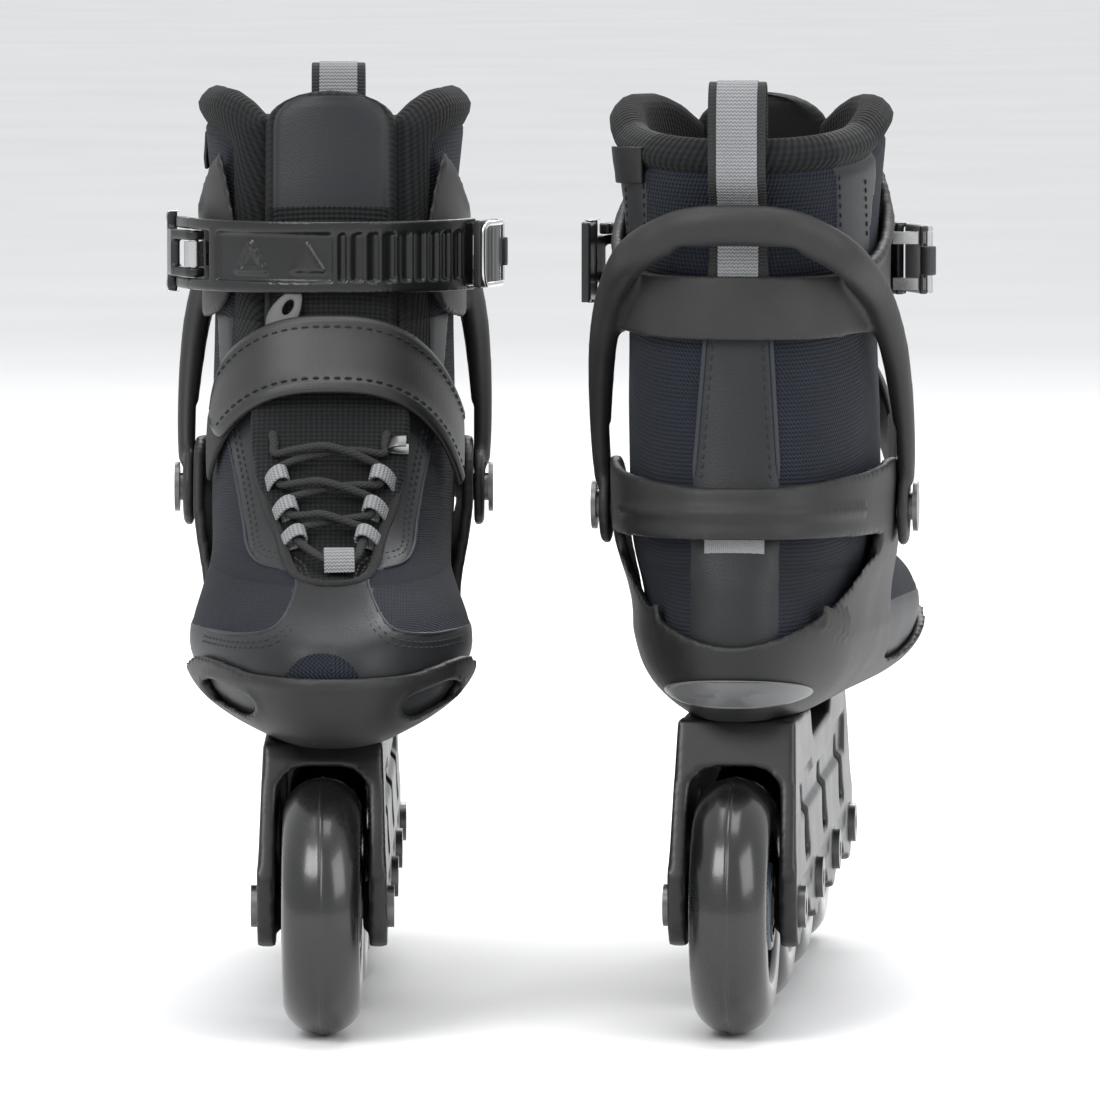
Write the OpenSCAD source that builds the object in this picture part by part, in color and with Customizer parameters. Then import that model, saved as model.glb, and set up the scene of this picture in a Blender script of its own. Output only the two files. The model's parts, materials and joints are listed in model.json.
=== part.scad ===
// A pair of recreational inline skates: soft textile boots in an open plastic shell with a hinged
// cuff, four-wheel frames, an instep strap and a ratchet buckle.
// Each skate is drawn in its own frame: toe towards -Y, lateral side towards -X, floor at Z = 0.

/* [Placement] */
// Distance of each skate's middle from the pair's middle
skate_offset = 69.5; // [62:0.5:120]
// Turn of the left skate on the floor, in degrees
left_turn = 5.5; // [0:0.5:12]

/* [Wheels] */
// Wheel diameter
wheel_d = 80; // [68:1:84]
// Tyre width
tyre_w = 24; // [20:0.5:26]
// Gap between neighbouring tyres
wheel_gap = 1; // [0.6:0.2:8]
// Bearing outer diameter
bearing_d = 22; // [20:1:26]
// Bearing width
bearing_w = 7; // [5:0.5:8]
// Axle diameter
axle_d = 8; // [6:0.5:9]
// Number of hub spokes
hub_spokes = 7; // [5:1:9]

/* [Frame] */
// Width over the side plates
frame_w = 40; // [37:1:48]
// Thickness of a side plate
plate_t = 5.6; // [4:0.2:7]
// Free height between wheel and frame roof
wheel_room = 3; // [2:0.5:6]
// Thickness of the frame roof at the toe end
roof_t = 6; // [5:0.5:10]
// Distance between the two frame bolts
bolt_spacing = 165; // [140:5:185]
// Frame bolt diameter
bolt_d = 8; // [6:1:8]

/* [Boot] */
// Boot length, toe to heel
boot_length = 278; // [235:1:330]
// Boot width across the ball of the foot
boot_width = 91; // [80:1:110]
// Boot height, sole to collar top
boot_height = 192; // [165:1:225]
// Toe end of the boot, ahead of the frame's middle
toe_reach = 145; // [120:1:175]
// Height of the heel above the toe
heel_rise = 8; // [0:1:14]
// Thickness of the textile upper
upper_t = 4; // [3:0.5:5]
// Thickness of the padded collar
collar_t = 10; // [7:0.5:12]
// Sideways swing of the toe towards the big toe
toe_swing = 3.5; // [0:0.5:6]
// Thickness of the footbed
insole_t = 4; // [3:0.5:6]

/* [Shell] */
// Wall of the shell
shell_t = 3.6; // [3:0.2:5]
// Gap between boot and shell
shell_gap = 0.6; // [0.4:0.1:1.2]
// Extra width of the shell at the ankle
ankle_flare = 2; // [0:0.5:4]

/* [Cuff] */
// Height of the cuff hinge above the boot sole
hinge_up = 59; // [52:1:64]
// Hinge's distance ahead of the heel
hinge_in = 93; // [84:1:104]
// Hinge rivet diameter
rivet_d = 9; // [7:0.5:11]
// Wall of the cuff
cuff_t = 3.4; // [3:0.2:5]
// Thickness of the arch tube
arch_d = 9; // [7:0.5:11]
// Forward flex that the boot's flex gap allows, in degrees
flex_forward = 8; // [4:1:10]
// Rearward flex, in degrees
flex_back = 2; // [1:1:4]

/* [Straps] */
// Width of the ratchet strap
ladder_w = 23; // [18:1:28]
// Thickness of the ratchet strap
ladder_t = 4; // [3:0.5:5]
// Pitch of the ratchet teeth
tooth_pitch = 5; // [4:0.5:7]
// Width of the instep strap
instep_w = 26; // [22:1:34]
// Thickness of the instep strap
instep_t = 3; // [2:0.5:4]
// Lace diameter
lace_d = 3.6; // [2.5:0.2:4.5]

/* [Hidden] */
SIDE_NODES = [
    "frame", "axles", "bearings", "frame_bolts", "shell", "reflector", "boot", "insole", "heel_pad",
    "tongue_base", "laces", "lace_loops", "instep_strap", "hinge_rivets",
    "cuff", "collar", "tongue", "heel_tab", "buckle_mounts", "ladder_strap", "buckle_lever", "strap_catch",
    "tyre_1", "tyre_2", "tyre_3", "tyre_4", "hub_1", "hub_2", "hub_3", "hub_4"
];
$fn = 48;

running = 0.05;        // radial clearance of what turns
slack = 0.4;           // gap between pieces that move past each other
far = 400;             // longer than any piece
ring_sides = 32;       // points in each outline of a lofted skin

wheel_r = wheel_d / 2;
wheel_pitch = wheel_d + wheel_gap;
roof_z = wheel_d + wheel_room;
shell_floor = 4.5;
sole_z = roof_z + roof_t + shell_floor + 0.5;
heel_y = boot_length - toe_reach;
hinge_y = heel_y - hinge_in;
hinge_z = sole_z + hinge_up + rise(hinge_y);

function clamp01(v) = max(0, min(1, v));
function ease(a, b, v) = let (t = clamp01((v - a) / (b - a))) t * t * (3 - 2 * t);
function mix(a, b, t) = a + (b - a) * t;
function wheel_y(i) = (i - 2.5) * wheel_pitch;

// Slope of the sole: how much higher the sole is at y than at the toe
function rise(y) = heel_rise * (y + toe_reach) / boot_length;

// ---- outline of the boot at a height share k, as shares of its length and half width ----
front_line = [
    [-0.03, 0.06], [0, 0.032], [0.05, 0.011], [0.10, 0], [0.14, 0.01], [0.17, 0.04], [0.19, 0.085],
    [0.21, 0.15], [0.235, 0.22], [0.26, 0.262], [0.30, 0.302], [0.365, 0.348], [0.443, 0.392], [0.52, 0.43],
    [0.615, 0.466], [0.729, 0.493], [0.86, 0.514], [1, 0.532]
];
back_line = [
    [-0.03, 0.95], [0, 0.975], [0.05, 0.993], [0.10, 1], [0.18, 0.993], [0.26, 0.978], [0.36, 0.96],
    [0.47, 0.945], [0.6, 0.93], [0.75, 0.925], [0.88, 0.94], [1, 0.96]
];
plan_width = [
    [0, 0.94], [0.13, 1.06], [0.23, 1.09], [0.38, 0.97], [0.52, 0.85], [0.70, 0.81], [0.86, 0.82], [1, 0.77]
];
shaft_width = [[0.3, 0.88], [0.45, 0.88], [0.6, 0.87], [0.75, 0.88], [0.88, 0.93], [1, 0.99]];
bowl_width = [[-0.026, 0.44], [0, 0.68], [0.031, 0.85], [0.0625, 0.94], [0.104, 1]];

function share_of(h) = h / boot_height;
function front_y(h) = lookup(share_of(h), front_line) * boot_length - toe_reach;
function back_y(h) = lookup(share_of(h), back_line) * boot_length - toe_reach;
function half_width(y, h) =
    let (u = (y + toe_reach) / boot_length, k = share_of(h))
    boot_width / 2 * lookup(k, bowl_width)
        * mix(lookup(u, plan_width), lookup(k, shaft_width), ease(0.12, 0.3, k));
function swing(y) = toe_swing * (1 - ease(0, 0.5, (y + toe_reach) / boot_length));

// One closed outline at height h above the sole, grown outwards; drop lowers it after it is drawn
function outline(h, grow, drop = 0) = [
    for (i = [0:ring_sides - 1])
        let (
            a = 360 * i / ring_sides,
            y = mix(front_y(h) - grow, back_y(h) + grow, (1 - cos(a)) / 2),
            reach = (half_width(y, h) + grow) * pow(abs(sin(a)), 0.75)
        )
        [swing(y) + sign(sin(a)) * reach, y, sole_z + h + rise(y) - drop]
];

// A solid through closed outlines, lowest first
module loft(rings) {
    m = len(rings[0]);
    n = len(rings);
    polyhedron(
        points = [for (r = rings) each r],
        faces = concat(
            [[for (i = [0:m - 1]) i]],
            [for (j = [0:n - 2]) for (i = [0:m - 1])
                [j * m + i, (j + 1) * m + i, (j + 1) * m + (i + 1) % m, j * m + (i + 1) % m]],
            [[for (i = [m - 1:-1:0]) (n - 1) * m + i]]
        )
    );
}

foot_levels = [0, 0.03, 0.07, 0.12, 0.16, 0.19, 0.21, 0.235, 0.26, 0.3, 0.35, 0.42, 0.5, 0.58];
shaft_levels = [0.46, 0.54, 0.62, 0.7, 0.8, 0.9, 1.02];

// The boot's form as a solid, grown outwards by grow
module form(levels, grow, drop = 0) {
    loft([for (k = levels) outline(k * boot_height, grow, drop)]);
}

// The hollow inside the form, leaving a wall at the sides, the sole and the top of the toes
module hollow(levels, wall) {
    loft([for (k = levels) outline(k * boot_height, -wall, wall * (2 * ease(0.02, 0.15, k) - 1))]);
}

// Joins lofted solids into one mesh, so that true bores can then be cut in it
module as_mesh() {
    resize([0, 0, 0]) union() children();
}

// A polygon of [y, z] points, drawn across the whole width
module side_shape(points) {
    translate([-far / 2, 0, 0]) rotate([90, 0, 90]) linear_extrude(far) polygon(points);
}

// A polygon of [x, z] points, drawn from y0 to y1
module front_shape(y0, y1) {
    translate([0, y1, 0]) rotate([90, 0, 0]) linear_extrude(y1 - y0) children();
}

module along_x(x0, x1) {
    translate([x0, 0, 0]) rotate([0, 90, 0]) linear_extrude(x1 - x0) children();
}

// ---- wheels ----
rim_r = wheel_r * 0.56;
hub_w = tyre_w - 0.6;

module tyre(i) {
    color([0.09, 0.09, 0.1])
    translate([0, wheel_y(i), wheel_r]) rotate([0, 90, 0])
    rotate_extrude($fn = 96) {
        intersection() {
            translate([wheel_r * 0.64, 0]) resize([wheel_r * 0.72, tyre_w]) circle(r = 10, $fn = 40);
            translate([rim_r, -tyre_w / 2]) square([wheel_r - rim_r, tyre_w]);
        }
    }
}

module hub(i) {
    seat_r = bearing_d / 2 + running;
    core_r = seat_r + 2.6;
    ring_r = rim_r - 3;
    color([0.35, 0.37, 0.4])
    translate([0, wheel_y(i), wheel_r]) rotate([0, 90, 0]) difference() {
        union() {
            difference() {
                cylinder(r = rim_r, h = tyre_w * 0.72, center = true);
                cylinder(r = ring_r, h = far, center = true);
            }
            cylinder(r = core_r, h = hub_w, center = true);
            for (s = [0:hub_spokes - 1])
                rotate([0, 0, s * 360 / hub_spokes])
                    translate([core_r - 1, -1.6, -tyre_w * 0.22])
                        cube([ring_r - core_r + 2, 3.2, tyre_w * 0.44]);
        }
        for (s = [-1, 1])
            translate([0, 0, s * (hub_w / 2 - bearing_w / 2 + 0.5)])
                cylinder(r = seat_r, h = bearing_w + 1, center = true);
        cylinder(r = axle_d / 2 + 3, h = far, center = true);
    }
}

// ---- axles and bearings ----
plate_in = frame_w / 2 - plate_t;
boss_in = tyre_w / 2 + 0.5;

module bearings() {
    for (i = [1:4]) translate([0, wheel_y(i), wheel_r]) rotate([0, 90, 0]) {
        for (s = [-1, 1])
            color([0.75, 0.76, 0.78])
            translate([0, 0, s * (tyre_w / 2 - bearing_w / 2)]) difference() {
                cylinder(d = bearing_d, h = bearing_w, center = true);
                cylinder(r = axle_d / 2 + running, h = far, center = true);
                for (f = [-1, 1])
                    translate([0, 0, f * bearing_w / 2]) difference() {
                        cylinder(d = bearing_d - 4, h = 1, center = true);
                        cylinder(d = axle_d + 4, h = 2, center = true);
                    }
            }
        color([0.6, 0.6, 0.62]) difference() {
            cylinder(r = axle_d / 2 + 2, h = tyre_w - 2 * bearing_w - 0.1, center = true);
            cylinder(r = axle_d / 2 + running, h = far, center = true);
        }
    }
}

module axles() {
    color([0.55, 0.56, 0.58])
    for (i = [1:4]) translate([0, wheel_y(i), wheel_r]) rotate([0, 90, 0]) difference() {
        union() {
            cylinder(d = axle_d, h = frame_w + 1, center = true);
            for (s = [-1, 1])
                translate([0, 0, s * (frame_w / 2 + 0.6)]) cylinder(d = axle_d + 5, h = 3, center = true);
        }
        for (s = [-1, 1])
            translate([0, 0, s * (frame_w / 2 + 1.2)]) cylinder(d = 5.8, h = 4, center = true, $fn = 6);
    }
}

// ---- frame ----
frame_back = wheel_y(4) + 13;
frame_low = wheel_r - 12;

// Height of the shell's underside at y
function seat_z(y) = sole_z - shell_floor + rise(y) - 0.02;

module frame() {
    mount_half = 34;
    waist_z = roof_z - 2;
    color([0.14, 0.14, 0.15]) difference() {
        intersection() {
            side_shape(concat(
                [[-frame_back, frame_low + 6], [-frame_back - 2, wheel_r + 6]],
                [[-bolt_spacing / 2 - mount_half, seat_z(-bolt_spacing / 2 - mount_half)],
                 [-bolt_spacing / 2 + mount_half, seat_z(-bolt_spacing / 2 + mount_half)],
                 [-bolt_spacing / 2 + mount_half + 8, waist_z], [bolt_spacing / 2 - mount_half - 8, waist_z],
                 [bolt_spacing / 2 - mount_half, seat_z(bolt_spacing / 2 - mount_half)],
                 [bolt_spacing / 2 + mount_half, seat_z(bolt_spacing / 2 + mount_half)],
                 [frame_back + 2, wheel_r + 6], [frame_back, frame_low + 6], [frame_back - 5, frame_low]],
                [for (i = [3:-1:1])
                    each [[wheel_y(i + 1) - 14, frame_low], [wheel_y(i + 1) - 26, frame_low + 9],
                          [wheel_y(i) + 26, frame_low + 9], [wheel_y(i) + 14, frame_low]]],
                [[-frame_back + 5, frame_low]]
            ));
            front_shape(-far, far) polygon([
                [-frame_w / 2, 0], [frame_w / 2, 0], [frame_w / 2, wheel_r + 14],
                [frame_w / 2 - 2, roof_z + 30], [2 - frame_w / 2, roof_z + 30], [-frame_w / 2, wheel_r + 14]
            ]);
        }
        front_shape(-far, far) polygon([
            [-plate_in, -1], [plate_in, -1], [plate_in, roof_z - 9], [plate_in - 7, roof_z],
            [7 - plate_in, roof_z], [-plate_in, roof_z - 9]
        ]);
        for (i = [1:3])
            side_shape([
                [wheel_y(i) + wheel_pitch / 2 - 13, wheel_r + 10], [wheel_y(i) + wheel_pitch / 2 + 13, wheel_r + 10],
                [wheel_y(i) + wheel_pitch / 2 + 7, roof_z - 14], [wheel_y(i) + wheel_pitch / 2 - 7, roof_z - 14]
            ]);
        for (i = [1:4]) translate([0, wheel_y(i), wheel_r]) rotate([0, 90, 0]) {
            cylinder(r = axle_d / 2 + running, h = far, center = true);
            for (s = [-1, 1])
                translate([0, 0, s * (frame_w / 2 + 0.1)]) cylinder(d = axle_d + 5.6, h = 2.2, center = true);
        }
        for (s = [-1, 1])
            translate([0, s * bolt_spacing / 2, roof_z - 10]) cylinder(r = bolt_d / 2 + running, h = far);
    }
    color([0.14, 0.14, 0.15])
    for (i = [1:4]) for (s = [-1, 1])
        translate([s * (boss_in + plate_in) / 2, wheel_y(i), wheel_r]) rotate([0, 90, 0]) difference() {
            cylinder(r = axle_d / 2 + 3.4, h = plate_in - boss_in, center = true);
            cylinder(r = axle_d / 2 + running, h = far, center = true);
        }
}

module frame_bolts() {
    head_h = 2.6;
    color([0.6, 0.6, 0.62])
    for (s = [-1, 1]) translate([0, s * bolt_spacing / 2, 0]) {
        head_z = sole_z + rise(s * bolt_spacing / 2) + 0.4;
        difference() {
            union() {
                translate([0, 0, roof_z - 2]) cylinder(d = bolt_d, h = head_z - roof_z + 2.5);
                translate([0, 0, head_z]) cylinder(d = bolt_d + 7, h = head_h);
            }
            translate([0, 0, head_z + head_h - 1.6]) cylinder(d = 5.8, h = 4, $fn = 6);
        }
        difference() {
            translate([0, 0, roof_z - 2.4]) cylinder(d = bolt_d + 5, h = 2.3, $fn = 6);
            translate([0, 0, roof_z - 4]) cylinder(r = bolt_d / 2 + running, h = 9);
        }
    }
}

// ---- shell ----
shell_levels = [-0.0235, 0, 0.03, 0.07, 0.12, 0.18, 0.25, 0.32, 0.40, 0.46];

function flare(k) = ankle_flare * ease(0.12, 0.3, k);

module shell_form(grow, levels, drop = 0) {
    loft([for (k = levels) outline(k * boot_height, grow + flare(k), drop)]);
}

bumper_top = sole_z + 24;
band_top = hinge_z + 13;
wing_half = 16;

module shell() {
    window_top = hinge_z - 8;
    window_low = window_top - 31;
    window_half = boot_width * 0.4;
    color([0.2, 0.2, 0.21]) difference() {
        as_mesh() difference() {
            intersection() {
                shell_form(shell_gap + shell_t, shell_levels);
                side_shape([
                    [-far / 2, 0], [-far / 2, bumper_top], [-toe_reach + 30, bumper_top],
                    [-toe_reach + 58, bumper_top - 3], [-toe_reach + 84, bumper_top - 14],
                    [hinge_y - 58, bumper_top - 15], [hinge_y - 36, bumper_top - 6],
                    [hinge_y - 22, hinge_z - 22], [hinge_y - wing_half, hinge_z + 4],
                    [hinge_y - 10, hinge_z + 13], [hinge_y + wing_half, hinge_z + 15],
                    [heel_y - 30, band_top], [far / 2, band_top - 4], [far / 2, 0]
                ]);
            }
            shell_form(shell_gap, [for (k = shell_levels) max(k, -0.001) + (k > 0.45 ? 0.02 : 0)]);
            // window at the back of the heel
            front_shape(hinge_y + 28, far) polygon(concat(
                [for (a = [0:15:180]) [-window_half * cos(a), window_top - (window_top - window_low) * sin(a)]]
            ));
            // vents in the toe bumper
            for (s = [-1, 1])
                front_shape(-far, -toe_reach + 45) translate([s * boot_width * 0.36 + toe_swing, sole_z + 10])
                    hull() for (d = [-5, 5]) translate([d, s * d * 0.25]) circle(r = 4.2, $fn = 20);
        }
        translate([-far / 2, hinge_y, hinge_z]) rotate([0, 90, 0]) cylinder(r = rivet_d / 2 + running, h = far);
        for (s = [-1, 1])
            translate([0, s * bolt_spacing / 2, 0]) cylinder(r = bolt_d / 2 + running, h = sole_z + 20);
    }
}

module reflector() {
    z = sole_z + rise(heel_y) + 4;
    color([0.4, 0.4, 0.4]) as_mesh() intersection() {
        difference() {
            shell_form(shell_gap + shell_t + 1.2, shell_levels);
            shell_form(shell_gap + shell_t + 0.05, [for (k = shell_levels) k - (k < 0 ? 0.01 : 0)]);
        }
        front_shape(hinge_y + 20, far) translate([0, z]) resize([38, 9]) circle(r = 5, $fn = 32);
    }
}

// ---- boot ----
flex_z = hinge_z + 28;

module boot() {
    color([0.12, 0.13, 0.16]) difference() {
        as_mesh() difference() {
            intersection() {
                form(foot_levels, 0);
                translate([-far / 2, -far / 2, 0]) cube([far, far, flex_z]);
            }
            hollow([for (k = foot_levels) k + (k > 0.57 ? 0.03 : 0)], upper_t);
            translate([0, 0, sole_z + 25]) linear_extrude(far) polygon(throat_points(0));
        }
        for (s = [-1, 1])
            translate([0, s * bolt_spacing / 2, 0]) cylinder(r = bolt_d / 2 + 4, h = sole_z + 20);
    }
}

// Plan of the throat under the laces, grown by g
throat_low = -toe_reach + boot_length * 0.175;
throat_high = -toe_reach + boot_length * 0.40;
function throat_points(g) = concat(
    [[20 + g, throat_high], [20 + g, far / 8], [-20 - g, far / 8], [-20 - g, throat_high]],
    [for (a = [180:20:360]) [swing(throat_low) + (9.5 + g) * cos(a), throat_low + 9 + (9 + g) * sin(a)]]
);

module tongue_base() {
    wall = 4.6;
    color([0.1, 0.11, 0.13]) as_mesh() intersection() {
        difference() {
            form(foot_levels, -0.6, 0.6);
            hollow([for (k = foot_levels) k + (k > 0.57 ? 0.03 : 0)], wall);
        }
        translate([0, 0, sole_z + 25.5]) linear_extrude(flex_z + 14 - sole_z - 25) polygon(throat_points(-0.6));
        side_shape([[-far / 2, 0], [-far / 2, far], [throat_high + 22, far], [throat_high + 22, 0]]);
    }
}

module insole() {
    top = (upper_t + insole_t) / boot_height;
    color([0.25, 0.25, 0.27]) as_mesh() intersection() {
        hollow([for (k = foot_levels) k + (k > 0.57 ? 0.03 : 0)], upper_t + slack);
        form([0, top / 2, top], 0);
    }
}

pad_r = 20;
pad_y = heel_y - 65;
pad_z = sole_z + rise(pad_y + pad_r) + upper_t + insole_t + 0.1;

module heel_pad() {
    color([0.3, 0.3, 0.32]) translate([0, pad_y, pad_z]) cylinder(r = pad_r, h = 2.5);
}

// ---- laces ----
lace_rows = [[19, 5], [30, 12], [41, 14.5], [51, 16.5]];
function skin_z(x, y) =
    let (hits = [for (h = [20:0.5:boot_height * 0.6])
        if (front_y(h) < y && abs(x - swing(y)) <= half_width(y, h)
            * pow(abs(sin(acos(1 - 2 * clamp01((y - front_y(h)) / (back_y(h) - front_y(h)))))), 0.75)) h])
    sole_z + (len(hits) > 0 ? max(hits) : 20) + rise(y);
function lace_point(row, side) =
    let (y = throat_low + lace_rows[row][0], x = side * lace_rows[row][1] + swing(y))
    [x, y, skin_z(x, y) + lace_d / 2 + 0.6];

// One run of lace that lies on the boot, with a rise in its middle where it crosses another
module lace_run(a, b, lift) {
    lean = [0, sign(b[1] - a[1]) * lace_d * 0.6, 0];
    tube([
        for (t = [0:0.125:1])
            let (p = mix(a + lean, b - lean, t), rest_z = skin_z(p[0], p[1]) + lace_d / 2 + 1)
            [p[0], p[1], max(p[2], rest_z) + lift * sin(180 * t)]
    ], lace_d / 2);
}

// A round tube with closed ends along a list of points
module tube(path, r) {
    n = 8;
    loft([for (i = [0:len(path) - 1])
        let (
            d = path[min(i + 1, len(path) - 1)] - path[max(i - 1, 0)],
            u = d / norm(d),
            s0 = cross(u, abs(u[2]) < 0.9 ? [0, 0, 1] : [1, 0, 0]),
            s = s0 / norm(s0),
            w = cross(u, s)
        )
        [for (j = [0:n - 1]) path[i] + r * (s * cos(360 * j / n) + w * sin(360 * j / n))]]);
}

module laces() {
    color([0.05, 0.05, 0.06]) {
        lace_run(lace_point(0, -1) + [0, -1, 0], lace_point(0, 1) + [0, -1, 0], 0);
        for (row = [0:2]) for (s = [-1, 1])
            lace_run(lace_point(row, s) + [0, 2.2, 0.3], lace_point(row + 1, -s) + [s * 1.5, 0, 0.3],
                     s > 0 ? 0.6 : lace_d + 1.2);
    }
}

module lace_loops() {
    loop_w = 6.5;
    loop_lift = 0.6;
    color([0.62, 0.63, 0.66])
    for (row = [1:3]) for (s = [-1, 1])
        translate(lace_point(row, s) + [s * (loop_w / 2 + 2.4), 0, loop_lift])
            rotate([30, 0, 0]) cube([loop_w, loop_w, lace_d + 1], center = true);
}

// ---- instep strap ----
strap_up = boot_height * 0.54;          // height of the strap's crest above the sole
strap_y = front_y(strap_up) - 3;
strap_z = sole_z + strap_up + rise(strap_y);

module instep_strap() {
    strap_gap = 2;
    color([0.16, 0.16, 0.17]) as_mesh() intersection() {
        difference() {
            form(concat([0.21], [for (k = foot_levels) if (k > 0.22) k], [0.64]), strap_gap + instep_t);
            form(concat([0.20], [for (k = foot_levels) if (k > 0.22) k], [0.66]), strap_gap);
        }
        translate([0, strap_y, strap_z]) rotate([45, 0, 0])
            translate([-far / 2, -instep_w / 2, -far]) cube([far, instep_w, far * 1.2]);
        translate([-far / 2, -far, 0]) cube([far, far + hinge_y - wing_half - 14, far]);
    }
}

// ---- cuff ----
pad_in = boot_width / 2 * lookup(share_of(hinge_up), shaft_width) + shell_gap + shell_t + ankle_flare;
pad_t = 3.5;

module hinge_rivets() {
    color([0.5, 0.5, 0.52])
    for (s = [-1, 1]) translate([0, hinge_y, hinge_z]) rotate([0, 90 * s, 0]) {
        translate([0, 0, pad_in - shell_t - 0.4]) cylinder(d = rivet_d, h = shell_t + pad_t + 1);
        translate([0, 0, pad_in + pad_t + 0.45]) cylinder(d = rivet_d + 7, h = 1.5);
    }
}

cuff_low = hinge_z + 56;     // lower edge of the band behind the ankle
cuff_mid = hinge_z + 77;
horn_z = hinge_z + 107;
front_edge_y = front_y(150) + 12;

// Middle line of the arch tube, from the hinge to the middle of the back, for side s
function arch_line(s) =
    let (x0 = pad_in + pad_t / 2, back = back_y(150))
    [[s * (x0 + 0.5), hinge_y, hinge_z + 2], [s * (x0 + 1.4), hinge_y + 10, hinge_z + 20],
     [s * (x0 - 0.5), hinge_y + 26, hinge_z + 45], [s * (x0 - 6), hinge_y + 46, hinge_z + 66],
     [s * (x0 - 17), back - 2, hinge_z + 83], [s * (x0 - 32), back + 7, hinge_z + 90],
     [0, back + 10, hinge_z + 92]];

module cuff() {
    cuff_levels = [0.5, 0.58, 0.66, 0.74, 0.82, 0.9, 1];
    cuff_gap = 1.2;
    color([0.19, 0.19, 0.2]) difference() {
        as_mesh() difference() {
            union() {
                intersection() {
                    difference() {
                        form(cuff_levels, cuff_gap + cuff_t);
                        form([for (k = cuff_levels) k + (k == 0.5 ? -0.03 : k == 1 ? 0.03 : 0)], cuff_gap);
                        // front opening over the tongue
                        translate([-boot_width * 0.3, -far, 0]) cube([boot_width * 0.6, far + hinge_y - 5, far]);
                    }
                    side_shape([
                        [far / 2, cuff_low], [far / 2, cuff_mid], [hinge_y + 45, cuff_mid + 4],
                        [hinge_y + 5, cuff_mid + 14], [front_edge_y + 10, horn_z], [front_edge_y, horn_z - 4],
                        [front_edge_y - 4, cuff_mid], [front_edge_y, cuff_low + 4], [hinge_y, cuff_low]
                    ]);
                }
                for (s = [-1, 1]) {
                    tube(arch_line(s), arch_d / 2);
                    translate([s * (pad_in + 0.3 + pad_t / 2), hinge_y, hinge_z]) rotate([0, 90, 0])
                        cylinder(r = rivet_d / 2 + 8, h = pad_t, center = true);
                }
            }
            shell_clearance();
        }
        translate([-far / 2, hinge_y, hinge_z]) rotate([0, 90, 0]) cylinder(r = rivet_d / 2 + running, h = far);
        for (s = [-1, 1])
            translate([s * (pad_in + 0.3 + pad_t), hinge_y, hinge_z]) rotate([0, 90 * s, 0])
                cylinder(r = rivet_d / 2 + 3.5 + slack, h = far / 4);
    }
}

// Room for the shell's wings beside the hinge
module shell_clearance() {
    translate([-pad_in - 0.25, hinge_y - 40, hinge_z - 40]) cube([2 * pad_in + 0.5, 90, 70]);
}

// ---- collar, tongue and heel tab, which flex with the cuff ----
module collar() {
    flex_room = flex_forward + 2;
    lift = (28.6 + 60 * sin(flex_room)) / cos(flex_room);
    back_lift = 29 + 80 * sin(flex_back);
    color([0.12, 0.13, 0.16]) as_mesh() intersection() {
        difference() {
            form(shaft_levels, 0);
            form([0.44, 0.54, 0.62, 0.7, 0.8, 0.9, 1.06], -collar_t);
            translate([-22, -far, 0]) cube([44, far + front_y(150) + 24, far]);
        }
        side_shape([
            [far / 2, hinge_z + back_lift], [far / 2, hinge_z + 112], [heel_y - 25, hinge_z + 117],
            [hinge_y + 15, hinge_z + 131], [hinge_y - 18, hinge_z + 131], [front_y(150) - 2, hinge_z + 104],
            [front_y(150) - 30, hinge_z + 60], [-8, hinge_z + 60], [2, hinge_z + lift], [hinge_y, hinge_z + 30]
        ]);
    }
}

tongue_half = 21.4;
// Lower edge of the upper tongue, which comes down as the cuff flexes
strap_top_z = strap_z + (instep_w / 2 + instep_t) * sin(45);
tongue_low = strap_top_z + (hinge_y - strap_y) * sin(flex_forward) + 1.5;

module tongue() {
    color([0.13, 0.13, 0.14]) as_mesh() intersection() {
        difference() {
            form([0.58, 0.64, 0.7, 0.8, 0.9, 1.04], 0);
            form([0.56, 0.64, 0.7, 0.8, 0.9, 1.08], -9);
            strap_arc(strap_r - slack, strap_r + 20, -ladder_w / 2 - slack, ladder_w / 2 + slack, -60, 60);
        }
        translate([-tongue_half, -far, 0]) cube([2 * tongue_half, far + front_y(150) + 20, far]);
        front_shape(-far, far) union() {
            translate([-tongue_half, tongue_low]) square([2 * tongue_half, hinge_z + 112 - tongue_low]);
            translate([0, hinge_z + 111]) resize([2 * tongue_half, 40]) circle(r = 20, $fn = 40);
        }
    }
}

module heel_tab() {
    top_y = back_y(180) - 2;
    color([0.5, 0.51, 0.53]) translate([-9, 0, 0]) rotate([90, 0, 90]) linear_extrude(18) difference() {
        hull() {
            translate([top_y - 3, hinge_z + 130]) circle(r = 5.5, $fn = 24);
            translate([top_y + 0.7, hinge_z + 96]) square([1.8, 2]);
            translate([top_y - 8.5, hinge_z + 112]) square([1.8, 2]);
        }
        hull() {
            translate([top_y - 3, hinge_z + 130]) circle(r = 4, $fn = 24);
            translate([top_y - 1, hinge_z + 90]) square([1.8, 2]);
            translate([top_y - 7, hinge_z + 105]) square([1.8, 2]);
        }
        side_cut();
    }
}

module side_cut() {
    polygon([[-far, 0], [heel_y + far, 0], [heel_y + far, hinge_z + 100], [back_y(165) + 0.5, hinge_z + 100],
             [back_y(180) + 0.6, hinge_z + 119], [-far, hinge_z + 119]]);
}

// ---- ratchet buckle ----
buckle_z = hinge_z + 77;
strap_r = boot_width * 0.52;            // radius of the ratchet strap's arc
strap_mid_y = front_y(140) - 3.5 + strap_r;
lever_at = -64;                         // angles along the arc, from the front towards the inner side
catch_at = 62;
pin_d = 3;
knuckle_r = 3.2;
rail = 3.6;                             // width of the strap's raised edges
handle_w = ladder_w + 3;
catch_w = ladder_w - 1;
catch_ear_in = 5.4;                     // the catch's ears lie beyond its narrow neck
lever_l = 38;

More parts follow.
